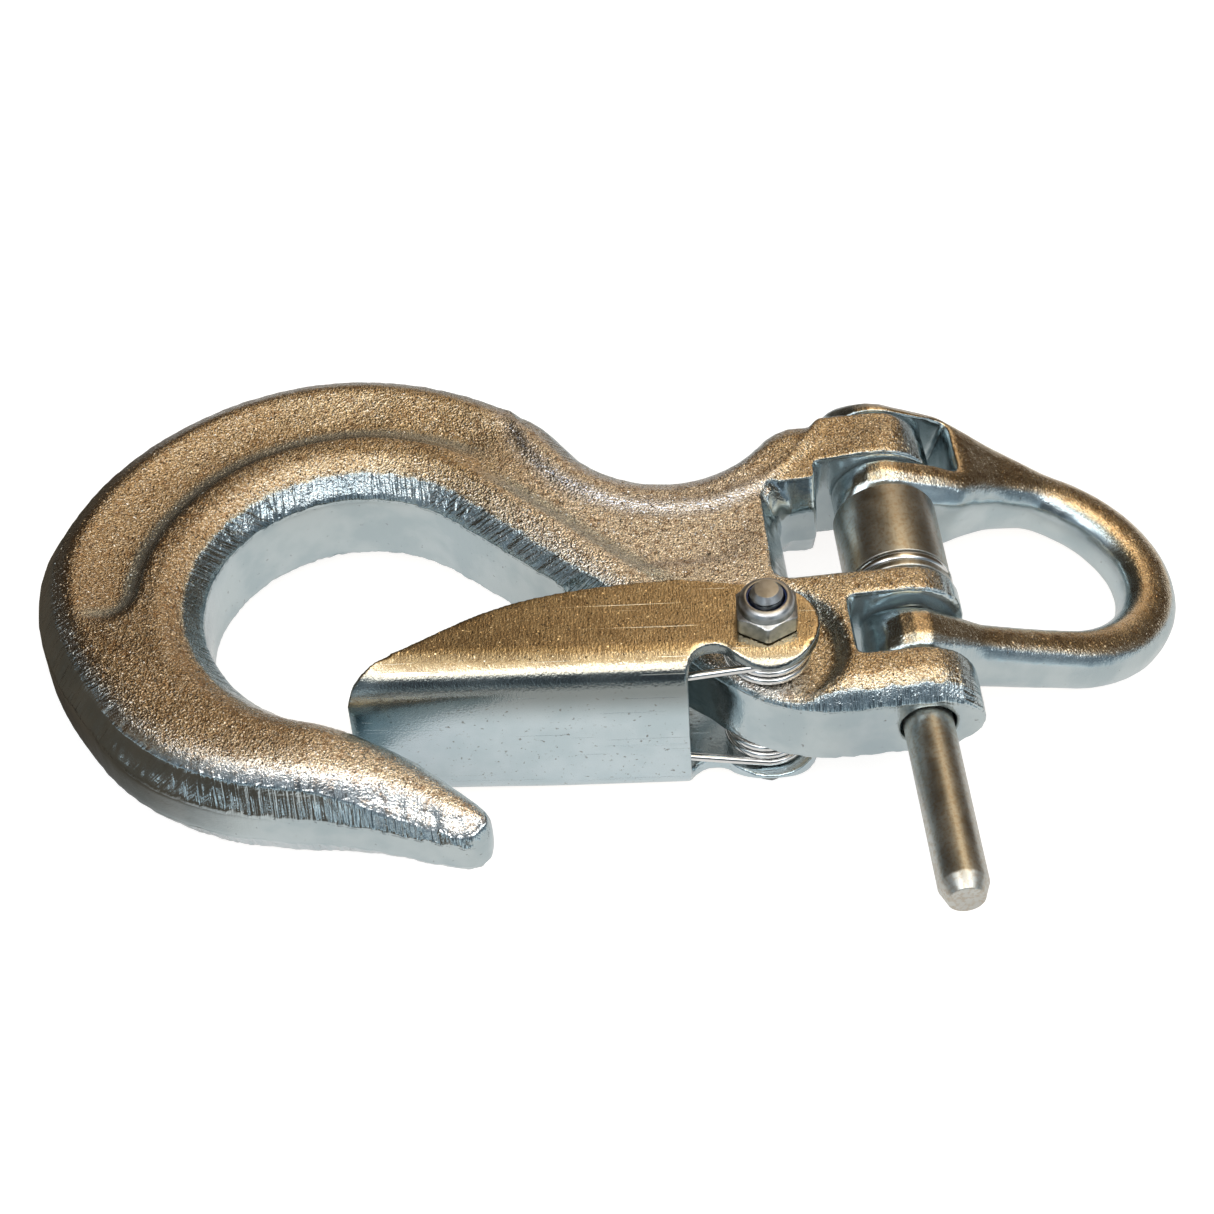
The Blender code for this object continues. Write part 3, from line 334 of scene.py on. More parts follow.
# Colours of the other pieces
TURNED_GREYS = ((0.56, 0.56, 0.53), (0.66, 0.67, 0.64))
STAIN_BROWN = (0.46, 0.38, 0.28)
WIRE_GREYS = ((0.74, 0.73, 0.71), (0.82, 0.82, 0.82))
# Painted light and shade on the fastener steel: lighter tops, darker sides
LIT_STEEL_TOPS = ((0.52, 0.53, 0.54), (0.64, 0.65, 0.66))
SHADED_STEEL_SIDES = ((0.2, 0.22, 0.22), (0.32, 0.34, 0.34))
NYLON_BLUES = ((0.015, 0.03, 0.11), (0.03, 0.055, 0.17))

# Surroundings by height, beyond the hook and behind the camera
SKY_BEYOND = (
    (0.0, (0.26, 0.22, 0.18)),
    (0.25, (0.16, 0.125, 0.09)),
    (0.5, (0.17, 0.125, 0.08)),
    (0.72, (0.21, 0.155, 0.095)),
    (0.82, (0.34, 0.25, 0.15)),
    (0.92, (0.58, 0.44, 0.26)),
    (1.0, (1.0, 0.88, 0.68)),
)
SKY_BEHIND = (
    (0.0, (0.50, 0.55, 0.57)),
    (0.06, (0.24, 0.28, 0.30)),
    (0.25, (0.09, 0.11, 0.125)),
    (0.55, (0.07, 0.085, 0.1)),
    (0.68, (0.28, 0.31, 0.34)),
    (0.8, (0.8, 0.84, 0.86)),
    (0.9, (0.85, 0.82, 0.76)),
    (1.0, (1.0, 0.88, 0.68)),
)
BEYOND_Y = (-0.3, 0.2)

# Gains of the surroundings from left to right, beyond the hook and behind the camera
GAIN_BEYOND = ((-0.6, 0.26), (-0.25, 0.27), (-0.16, 0.3), (-0.1, 0.5), (0.0, 1.04),
               (0.07, 1.8), (0.14, 4.0), (0.35, 3.0), (0.6, 0.5))
GAIN_BEHIND = ((-0.6, 2.2), (-0.42, 4.0), (-0.2, 1.0), (0.2, 1.0), (0.42, 4.0), (0.6, 2.2))

# Lamp and floor, in metres; the floor's far part is dark in reflections
LAMP_PLACE = (0.0, -0.62, 0.92)
LAMP_SIZE = (1.1, 0.36)
LAMP_POWER = 2.6
FLOOR_HALF = 40.0
FLOOR_GREY = (0.42, 0.42, 0.42)
FLOOR_BROWN = (0.10, 0.08, 0.06)
FLOOR_FAR_X = (-0.075, -0.115)
FLOOR_FAR_Y = (0.06, 0.2)
SEEN_GLOW = 0.84
MIRRORED_GLOW = 0.48

JOINTS = {joint["name"]: joint for joint in frame["joints"]}


def hook_frame():
    """Hook's frame in the world, from the axes of its joints."""
    y = Vector(JOINTS["link_swing"]["axis"]).normalized()
    z = -Vector(JOINTS["latch_swing"]["axis"]).normalized()
    x = y.cross(z)
    turn = Matrix((x, y, z)).transposed().to_4x4()
    return Matrix.Translation(JOINTS["link_swing"]["pos_m"]) @ turn


HOOK = hook_frame()
BOLT = Matrix.Translation(JOINTS["latch_swing"]["pos_m"]) @ HOOK.to_3x3().to_4x4()
LATCH = BOLT @ Matrix.Rotation(-LATCH_ANGLE, 4, "Z")
LINK = HOOK @ Matrix.Rotation(LINK_DROOP, 4, "Y")
BOLT_PLACE = (HOOK.inverted() @ BOLT.translation) / MM


def around(place, span):
    """Span moved to a place."""
    return place + span[0], place + span[1]


def smooth_step(low, high, value):
    """Soft step from 0 at low to 1 at high."""
    t = np.clip((value - low) / (high - low), 0.0, 1.0)
    return t * t * (3.0 - 2.0 * t)


def fade(low, high, value):
    """Soft step from 1 at low to 0 at high."""
    return 1.0 - smooth_step(low, high, value)


def new_object(name, data):
    """Object in the scene."""
    obj = bpy.data.objects.new(name, data)
    bpy.context.scene.collection.objects.link(obj)
    return obj


def finish_piece(obj, body, nodes, material):
    """Put a piece on its body, in the place of its nodes, with its finish."""
    obj.data.materials.clear()
    obj.data.materials.append(material)
    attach(obj, body)
    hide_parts(*nodes)


def read_points(mesh):
    """Vertex places in millimetres."""
    flat = np.empty(len(mesh.vertices) * 3, np.float32)
    mesh.vertices.foreach_get("co", flat)
    return flat.reshape(-1, 3).astype(float) / MM


def write_points(mesh, points):
    """Set vertex places from millimetres."""
    mesh.vertices.foreach_set("co", (points * MM).astype(np.float32).ravel())
    mesh.update()


def read_normals(mesh):
    """Vertex normals."""
    flat = np.empty(len(mesh.vertices) * 3, np.float32)
    mesh.vertex_normals.foreach_get("vector", flat)
    return flat.reshape(-1, 3).astype(float)


def fine_copy(name, node, place, voxel):
    """Fine closed copy of a node, in a frame of its own."""
    mesh = frame["nodes"][node].data.copy()
    mesh.transform(place.inverted())
    obj = new_object(name, mesh)
    remesh = obj.modifiers.new("voxels", "REMESH")
    remesh.mode = "VOXEL"
    remesh.voxel_size = voxel * MM
    remesh.use_smooth_shade = True
    shown = obj.evaluated_get(bpy.context.evaluated_depsgraph_get())
    fine = bpy.data.meshes.new_from_object(shown)
    obj.modifiers.clear()
    obj.data = fine
    obj.matrix_world = place
    return obj


def soften(mesh, rounds, weights):
    """Round a mesh's edges by moving each point towards its neighbours."""
    points = read_points(mesh)
    flat = np.empty(len(mesh.edges) * 2, np.int32)
    mesh.edges.foreach_get("vertices", flat)
    a, b = flat.reshape(-1, 2).T
    size = len(points)
    links = np.bincount(a, minlength=size) + np.bincount(b, minlength=size)
    step = SOFTEN_STEP * weights[:, None]
    for _ in range(rounds):
        total = np.empty_like(points)
        for k in range(3):
            total[:, k] = np.bincount(a, points[b, k], size) + np.bincount(b, points[a, k], size)
        points += step * (total / links[:, None] - points)
    write_points(mesh, points)


def waves(points, layers):
    """Sum of smooth noises, one value for each point."""
    total = np.zeros(len(points))
    for size, height, seed in layers:
        total += height * np.array([noise.noise(Vector(p)) for p in points / size + seed])
    return total


def round_bowl(points):
    """Bearing in degrees, distance from the inner edge and outward way of points round the bowl's centre."""
    out = points[:, :2] - BOWL_CENTRE
    reach = np.hypot(out[:, 0], out[:, 1])
    bearing = np.degrees(np.arctan2(out[:, 1], out[:, 0])) % 360.0
    return bearing, reach - BOWL_INNER, out / np.maximum(reach, 1.0)[:, None]


def bowl_lift(points, up):
    """Rise of the bowl's faces that makes a crisp die mark of their groove."""
    bearing, from_edge, _ = round_bowl(points)
    width = np.interp(bearing, BOWL_BEARINGS, BOWL_WIDTHS)
    across = np.clip(CREASE_CORNER - (from_edge - CREASE), 0.0, None)
    along = np.clip(CREASE_CORNER - np.radians(CREASE_END - bearing) * (from_edge + BOWL_INNER), 0.0, None)
    inside = np.clip((CREASE_CORNER - np.hypot(across, along)) / CREASE_WIDTH, 0.0, 1.0)
    wall = 1.0 - (1.0 - inside) ** 3
    rise = np.clip((from_edge - CREASE) / (width - OUTER_BEVEL - CREASE), 0.0, 1.0)
    marked = BOWL_HALF - CREASE_DEPTH * wall * (1.0 - rise * rise)
    share = smooth_step(*MARK_LEAN, up) * smooth_step(*MARK_START, bearing)
    share *= smooth_step(*around(CREASE, CREASE_FOOT), from_edge) * fade(*MARK_STOP, bearing)
    share *= fade(*OUTER_FADE, from_edge - (width - OUTER_BEVEL))
    return share * (marked - np.abs(points[:, 2]))


def neck_lift(points, up):
    """Rise of the neck's faces that makes a shallow recess of their groove."""
    bearing = round_bowl(points)[0]
    way = (points[:, :2] - SHANK_END) @ SHANK_WAY
    side = (points[:, :2] - SHANK_END) @ SHANK_SIDE
    hollow = np.hypot(points[:, 0] - HOLLOW_CENTRE[0], points[:, 1] - HOLLOW_CENTRE[1])
    half = BOWL_HALF - NECK_THINNING * smooth_step(0.0, NECK_LENGTH, way)
    recess = smooth_step(*around(NECK_MARK, NECK_WALL), side) * fade(*RECESS_STOP, way)
    recess *= smooth_step(*around(HOLLOW_EDGE, HOLLOW_WALL), hollow)
    share = smooth_step(*NECK_LEAN, up) * fade(*MARK_START, bearing)
    share *= smooth_step(*NECK_START, way) * fade(*NECK_STOP, way)
    share *= smooth_step(*around(NECK_MARK, NECK_RIM), side)
    share *= smooth_step(*around(HOLLOW_EDGE, HOLLOW_RIM), hollow)
    return share * np.clip(half - NECK_DEPTH * recess - np.abs(points[:, 2]), *NECK_LIFT_LIMITS)


def mark_faces(mesh):
    """Die mark on the bowl's two faces and a recess in the neck's."""
    points = read_points(mesh)
    up = np.abs(read_normals(mesh)[:, 2])
    points[:, 2] += np.sign(points[:, 2]) * (bowl_lift(points, up) + neck_lift(points, up))
    write_points(mesh, points)


def near_edge_roll(mesh):
    """How freely points near the outer edge of the bowl's near side and the tip roll over."""
    points = read_points(mesh)
    normals = read_normals(mesh)
    bearing, from_edge, out = round_bowl(points)
    outer = smooth_step(*ROLL_WIDTH, from_edge - np.interp(bearing, BOWL_BEARINGS, BOWL_WIDTHS))
    outer *= smooth_step(*ROLL_START, bearing) * fade(*ROLL_STOP, points[:, 0])
    outer *= smooth_step(*ROLL_OUTWARD, (normals[:, :2] * out).sum(1))
    return outer * smooth_step(*ROLL_LEAN, np.abs(normals[:, 2]))


def sink_near_edge(mesh):
    """Lower the upper outer bevel of the bowl's near side and the tip."""
    points = read_points(mesh)
    bearing = round_bowl(points)[0]
    height = points[:, 2]
    share = smooth_step(*DROP_FACING, -read_normals(mesh)[:, 1]) * smooth_step(*DROP_START, bearing)
    share *= fade(*DROP_STOP, points[:, 0])
    points[:, 2] -= share * EDGE_DROP * smooth_step(*DROP_LOW, height) * fade(*DROP_HIGH, height)
    write_points(mesh, points)


def trim_streaks(points):
    """Heights of the torn streaks across the trimmed bevels, round the bowl and along the prongs."""
    along = points * STREAK_STRETCH
    turned = along.copy()
    turned[:, 0] = np.radians(round_bowl(points)[0]) * BOWL_REACH
    bowl = waves(turned, STREAK_WAVES)
    prong = waves(along, STREAK_WAVES)
    return bowl + (prong - bowl) * smooth_step(*PRONG_START, points[:, 0])


def make_hook(material):
    """Forged hook with soft edges, hammered skin and torn trim marks."""
    obj = fine_copy("hook_forging", "hook_body", HOOK, HOOK_VOXEL)
    mesh = obj.data
    soften(mesh, HOOK_ROUNDS, np.ones(len(mesh.vertices)))
    mark_faces(mesh)
    soften(mesh, ROLL_ROUNDS, near_edge_roll(mesh))
    sink_near_edge(mesh)
    points = read_points(mesh)
    coupling = smooth_step(*COUPLING_START, points[:, 0])
    boss = fade(*BOSS_EDGE, np.hypot(points[:, 0] - BOLT_PLACE.x, points[:, 1] - BOLT_PLACE.y))
    crest = smooth_step(*CREST_LEAN, np.abs(read_normals(mesh)[:, 2]))
    soften(mesh, CREST_ROUNDS, np.clip(crest - COUPLING_FIRMNESS * coupling + boss, LEAST_SOFTNESS, 1.0))
    points = read_points(mesh)
    normals = read_normals(mesh)
    up = np.abs(normals[:, 2])
    bevel = smooth_step(*BEVEL_LOW, up) * fade(*BEVEL_HIGH, up)
    bore = smooth_step(*HOOK_BORE, np.hypot(points[:, 0], points[:, 2]))
    near = smooth_step(*NEAR_FACING, -normals[:, 1])
    lift = waves(points, HOOK_WAVES)
    lift += bevel * (STREAK_HEIGHT + NEAR_STREAK_HEIGHT * near) * trim_streaks(points)
    write_points(mesh, points + normals * (lift * bore)[:, None])
    finish_piece(obj, "hook", ["hook_body"], material)


def make_link(material):
    """Forged half link with rounded limbs."""
    obj = fine_copy("link_forging", "coupling_link", LINK, LINK_VOXEL)
    mesh = obj.data
    ring = smooth_step(*RING_START, read_points(mesh)[:, 0])
    soften(mesh, LINK_ROUNDS, EAR_SOFTNESS + (1.0 - EAR_SOFTNESS) * ring)
    soften(mesh, RING_ROUNDS, ring)
    points = read_points(mesh)
    normals = read_normals(mesh)
    bore = smooth_step(*LINK_BORE, np.hypot(points[:, 0], points[:, 2]))
    lift = waves(points, LINK_WAVES)
    write_points(mesh, points + normals * (lift * bore)[:, None])
    finish_piece(obj, "link", ["coupling_link"], material)


def make_latch(material):
    """Folded sheet latch with broken edges and a rounded nose."""
    obj = fine_copy("latch_sheet", "latch", LATCH, LATCH_VOXEL)
    mesh = obj.data
    soften(mesh, LATCH_ROUNDS, np.ones(len(mesh.vertices)))
    outside = smooth_step(*NOSE_FACING, -read_normals(mesh)[:, 1])
    soften(mesh, NOSE_ROUNDS, outside * fade(*NOSE_STOP, read_points(mesh)[:, 0]))
    finish_piece(obj, "latch", ["latch"], material)


def extent(node, place):
    """Lowest and highest corner of a node in a frame, in millimetres."""
    turn = np.array(place.inverted())
    points = read_points(frame["nodes"][node].data) * MM
    moved = (points @ turn[:3, :3].T + turn[:3, 3]) / MM
    return moved.min(0), moved.max(0)


def circle(radius, count=ROUND_SIDES):
    """Plan points round the axis; the radius may change with the angle."""
    turns = [FULL_TURN * i / count for i in range(count)]
    reach = radius if callable(radius) else lambda turn: radius
    return [(reach(turn) * math.cos(turn), reach(turn) * math.sin(turn)) for turn in turns]


def skin(name, loops, place, ring=False):
    """Closed piece over loops of points in millimetres; a ring joins its last loop to its first."""
    count = len(loops[0])
    points = [Vector(point) * MM for loop in loops for point in loop]
    faces = []
    for i in range(len(loops) if ring else len(loops) - 1):
        near = i * count
        far = (i + 1) % len(loops) * count
        for k in range(count):
            n = (k + 1) % count
            faces.append((near + k, near + n, far + n, far + k))
    if not ring:
        faces.append(tuple(reversed(range(count))))
        faces.append(tuple(range(len(points) - count, len(points))))
    mesh = bpy.data.meshes.new(name)
    mesh.from_pydata(points, [], faces)
    shape = bmesh.new()
    shape.from_mesh(mesh)
    bmesh.ops.recalc_face_normals(shape, faces=shape.faces)
    shape.to_mesh(mesh)
    shape.free()
    mesh.shade_smooth()
    mesh.set_sharp_from_angle(angle=CRISP_ANGLE)
    obj = new_object(name, mesh)
    obj.matrix_world = place
    return obj


def along_pin(radius, y):
    """Loop round the load pin's axis."""
    return [(x, y, z) for x, z in circle(radius)]


def along_bolt(radius, z):
    """Loop round the bolt's axis."""
    return [(x, y, z) for x, y in circle(radius)]


def rounded(centre, radii, start, end, steps=6):
    """Points of a profile's rounded corner, between two angles in degrees."""
    turns = [math.radians(start + (end - start) * i / steps) for i in range(steps + 1)]
    return [(centre[0] + radii[0] * math.cos(turn), centre[1] + radii[1] * math.sin(turn)) for turn in turns]


def make_pin(material):
    """Load pin with a coned nose at each end."""
    low, high = extent("load_pin", HOOK)
    radius = high[0]
    nose = [(PIN_END_RADIUS + r, y) for r, y in PIN_END_STEPS]
    nose += [(radius + r, PIN_NOSE + y) for r, y in PIN_SHOULDER_STEPS]
    loops = [along_pin(r, low[1] + y) for r, y in nose]
    loops += [along_pin(r, high[1] - y) for r, y in reversed(nose)]
    obj = skin("pin_turned", loops, HOOK)
    finish_piece(obj, "pin", ["load_pin"], material)


def make_bush(material):
    """Centre bush with a groove for its ring."""
    low, high = extent("centre_bush", HOOK)
    ring_low, ring_high = extent("bush_lock_ring", HOOK)
    radius = high[0]
    bore = extent("load_pin", HOOK)[1][0] + BUSH_GAP
    groove = (ring_low[1] - GROOVE_GAP, ring_high[1] + GROOVE_GAP)
    floor = radius - GROOVE_DEPTH
    edge = (BUSH_EDGE, BUSH_EDGE)
    lip = (GROOVE_EDGE, GROOVE_EDGE)
    profile = [(bore, low[1])]
    profile += rounded((radius - BUSH_EDGE, low[1] + BUSH_EDGE), edge, -90.0, 0.0)
    profile += rounded((radius - GROOVE_EDGE, groove[0] - GROOVE_EDGE), lip, 0.0, 90.0, GROOVE_STEPS)
    profile += [(floor, groove[0]), (floor, groove[1])]
    profile += rounded((radius - GROOVE_EDGE, groove[1] + GROOVE_EDGE), lip, -90.0, 0.0, GROOVE_STEPS)
    profile += rounded((radius - BUSH_EDGE, high[1] - BUSH_EDGE), edge, 0.0, 90.0)
    profile += [(bore, high[1])]
    obj = skin("bush_turned", [along_pin(r, y) for r, y in profile], HOOK, ring=True)
    finish_piece(obj, "bush", ["centre_bush"], material)


def make_ring(material):
    """Bright split ring in the bush's groove."""
    low, high = extent("bush_lock_ring", HOOK)
    outer = high[0]
    inner = outer - RING_DEPTH
    middle = (low[1] + high[1]) / 2.0
    half = (high[1] - low[1]) / 2.0
    section = [(inner, low[1])]
    section += rounded((outer - RING_EDGE, middle), (RING_EDGE, half), -90.0, 90.0, RING_STEPS)
    section += [(inner, high[1])]
    loops = []
    for i in range(ROUND_SIDES + 1):
        turn = RING_SPLIT_PLACE + RING_SPLIT / 2.0 + (FULL_TURN - RING_SPLIT) * i / ROUND_SIDES
        loops.append([(r * math.cos(turn), y, r * math.sin(turn)) for r, y in section])
    obj = skin("bush_split_ring", loops, HOOK)
    finish_piece(obj, "bush", ["bush_lock_ring"], material)


def hexagon(turn, limit=math.inf):
    """Radius of a turned hexagon by angle, held to a limit."""
    sixth = FULL_TURN / 6.0

    def radius(angle):
        off = (angle - turn + sixth / 2.0) % sixth - sixth / 2.0
        return min(HEX_FLATS / 2.0 / math.cos(off), limit)
    return radius


def thread(z, limit):
    """Radius of the bolt's thread at a height, by angle, held to a limit."""
    def radius(angle):
        share = (z / THREAD_PITCH - angle / FULL_TURN) % 1.0
        return min(BOLT_RADIUS - THREAD_DEPTH * abs(2.0 * share - 1.0), limit)
    return radius


def make_bolt(material):
    """Latch bolt: hex head below, threaded end above."""
    low, high = extent("latch_bolt", BOLT)
    bottom = low[2]
    seat = bottom + HEAD_HEIGHT
    top = high[2]
    loops = [along_bolt(HEX_CHAMFER_RADIUS - HEAD_FACE_STEP, bottom)]
    for rise in HEAD_CHAMFER:
        loops.append(along_bolt(hexagon(0.0, HEX_CHAMFER_RADIUS + CHAMFER_SLOPE * rise), bottom + rise))
    loops.append(along_bolt(hexagon(0.0), seat))
    loops.append(along_bolt(BOLT_RADIUS + BOLT_FILLET, seat))
    loops.append(along_bolt(BOLT_RADIUS, seat + BOLT_FILLET))
    loops.append(along_bolt(BOLT_RADIUS, top - THREAD_LENGTH - THREAD_RUN_OUT))
    for i in range(THREAD_STEPS + 1):
        z = top - THREAD_LENGTH * (1.0 - i / THREAD_STEPS)
        loops.append(along_bolt(thread(z, BOLT_END_RADIUS + (top - z) * BOLT_END_SLOPE), z))
    loops.append(along_bolt(BOLT_END_RADIUS - BOLT_CROWN_STEP, top + BOLT_CROWN))
    obj = skin("bolt_threaded", loops, BOLT)
    finish_piece(obj, "hook", ["latch_bolt"], material)


def make_nut(material):
    """Lock nut with a crimped collar."""
    low, high = extent("lock_nut", BOLT)
    base = low[2]
    top = high[2]
    hex_top = base + NUT_HEX_HEIGHT
    bore = BOLT_RADIUS + NUT_BORE_GAP
    loops = [along_bolt(bore, base)]
    loops.append(along_bolt(hexagon(NUT_TURN, NUT_SEAT_RADIUS), base))
    loops.append(along_bolt(hexagon(NUT_TURN), base + NUT_SEAT_HEIGHT))
    for drop in NUT_CHAMFER:
        limit = HEX_CHAMFER_RADIUS + CHAMFER_SLOPE * drop
        loops.append(along_bolt(hexagon(NUT_TURN, limit), hex_top - drop))
    loops.append(along_bolt(COLLAR_RADIUS, hex_top + COLLAR_FOOT))
    inner = LIP_RADIUS + CRIMP_EDGE
    bend = hex_top + CRIMP_START
    crimp = rounded((inner, bend), (COLLAR_RADIUS - inner, top - bend), 0.0, CRIMP_TURN, CRIMP_STEPS)
    loops += [along_bolt(r, z) for r, z in crimp]
    loops += [along_bolt(LIP_RADIUS + r, top - depth) for r, depth in LIP_STEPS]
    loops.append(along_bolt(POCKET_RADIUS, top - POCKET_TOP))
    loops.append(along_bolt(POCKET_RADIUS, top - POCKET_FLOOR))
    loops.append(along_bolt(bore, top - POCKET_FLOOR))
    obj = skin("nut_crimped", loops, BOLT, ring=True)
    finish_piece(obj, "hook", ["lock_nut"], material)


def make_insert(material):
    """Nylon ring in the nut's collar."""
    low, high = extent("nylon_insert", BOLT)
    bore = BOLT_RADIUS + NUT_BORE_GAP
    outer = high[0]
    edge = (NYLON_EDGE, NYLON_EDGE)
    profile = [(bore, low[2]), (outer, low[2])]
    profile += rounded((outer - NYLON_EDGE, high[2] - NYLON_EDGE), edge, 0.0, 90.0)
    profile += [(bore, high[2] - NYLON_DISH)]
    obj = skin("nut_nylon_ring", [along_bolt(r, z) for r, z in profile], BOLT, ring=True)
    finish_piece(obj, "hook", ["nylon_insert"], material)


def spring_line():
    """Centre line of the double torsion spring, from one tail to the other."""
    count = int(SPRING_TURNS * SPRING_STEPS)
    coil = []
    for i in range(count + 1):
        part = i / SPRING_STEPS
        turn = SPRING_START + FULL_TURN * part
        height = SPRING_LOW + SPRING_PITCH * (SPRING_TURNS - part)
        coil.append((SPRING_RADIUS * math.cos(turn), SPRING_RADIUS * math.sin(turn), height))
    x, y, z = coil[-1]
    turn = SPRING_START + FULL_TURN * count / SPRING_STEPS
    reaches = [SPRING_TAIL * share for share in TAIL_SHARES]
    tail = [(x - math.sin(turn) * reach, y + math.cos(turn) * reach, z) for reach in reaches]
    top = coil[0][2]
    fall = BRIDGE_HALF + BRIDGE_CORNER - top
    leg = [(-SPRING_ARM * share, -SPRING_RADIUS, top + fall * share) for share in ARM_SHARES]
    corner = rounded((BRIDGE_HALF, 0.0), (BRIDGE_CORNER, BRIDGE_CORNER), 0.0, 90.0, BRIDGE_STEPS)
    bridge = [(-SPRING_ARM - x, -SPRING_RADIUS, z) for z, x in corner]
    upper = tail[::-1] + coil[::-1] + leg + bridge
    return upper + [(x, y, -z) for x, y, z in reversed(upper)]


def make_spring(material):
    """Latch spring as one smooth unbroken wire."""
    line = [Vector(point) for point in spring_line()]
    section = circle(WIRE / 2.0, WIRE_SIDES)
    loops = []
    side = Vector((0.0, 0.0, 1.0))
    for i, point in enumerate(line):
        ahead = (line[min(i + 1, len(line) - 1)] - line[max(i - 1, 0)]).normalized()
        side = (side - ahead * side.dot(ahead)).normalized()
        other = ahead.cross(side)
        loops.append([point + side * x + other * y for x, y in section])
    obj = skin("spring_wire", loops, LATCH)
    finish_piece(obj, "latch", ["latch_spring"], material)


class Nodes:
    """Short hand for a tree of shader nodes."""

    def __init__(self, tree):
        self.tree = tree
        self.coords = self.add("ShaderNodeTexCoord").outputs

    def add(self, kind, **settings):
        """New node with its settings."""
        node = self.tree.nodes.new(kind)
        for name, value in settings.items():
            setattr(node, name, value)
        return node

    def put(self, value, socket):
        """Set an input to a number, a vector, a colour or another node's output."""
        if isinstance(value, bpy.types.NodeSocket):
            self.tree.links.new(value, socket)
        elif socket.type == "RGBA":
            socket.default_value = (*value, 1.0)
        else:
            socket.default_value = value

    def math(self, operation, a, b=0.0, clamp=False):
        """Arithmetic on one or two values."""
        node = self.add("ShaderNodeMath", operation=operation, use_clamp=clamp)
        self.put(a, node.inputs[0])
        self.put(b, node.inputs[1])
        return node.outputs[0]

    def product(self, first, *others):
        """Product of several values."""
        for other in others:
            first = self.math("MULTIPLY", first, other)
        return first

    def rest(self, share):
        """What a share leaves of one."""
        return self.math("SUBTRACT", 1.0, share)

    def along(self, x, y, way):
        """Distance along a way in the plan."""
        return self.math("ADD", self.product(x, way[0]), self.product(y, way[1]))

    def length(self, x, y):
        """Length of a line in the plan."""
        return self.math("SQRT", self.math("ADD", self.product(x, x), self.product(y, y)))

    def ramp(self, value, low, high, start=0.0, end=1.0, kind="SMOOTHSTEP"):
        """Step of a value between two limits."""
        node = self.add("ShaderNodeMapRange", interpolation_type=kind)
        self.put(value, node.inputs["Value"])
        for name, number in (("From Min", low), ("From Max", high), ("To Min", start), ("To Max", end)):
            self.put(number, node.inputs[name])
        return node.outputs["Result"]

    def band(self, value, rise, fall):
        """Share that rises over one span of a value and falls over another."""
        return self.product(self.ramp(value, *rise), self.ramp(value, *fall))

    def blend(self, share, a, b):
        """Value between two values."""
        node = self.add("ShaderNodeMix")
        self.put(share, node.inputs["Factor"])
        self.put(a, node.inputs["A"])
        self.put(b, node.inputs["B"])
        return node.outputs[0]

    def mix(self, share, a, b):
        """Colour between two colours."""
        node = self.add("ShaderNodeMix", data_type="RGBA")
        self.put(share, node.inputs["Factor"])
        self.put(a, node.inputs[6])
        self.put(b, node.inputs[7])
        return node.outputs[2]

    def split(self, vector):
        """Parts of a vector along X, Y and Z."""
        node = self.add("ShaderNodeSeparateXYZ")
        self.put(vector, node.inputs[0])
        return node.outputs


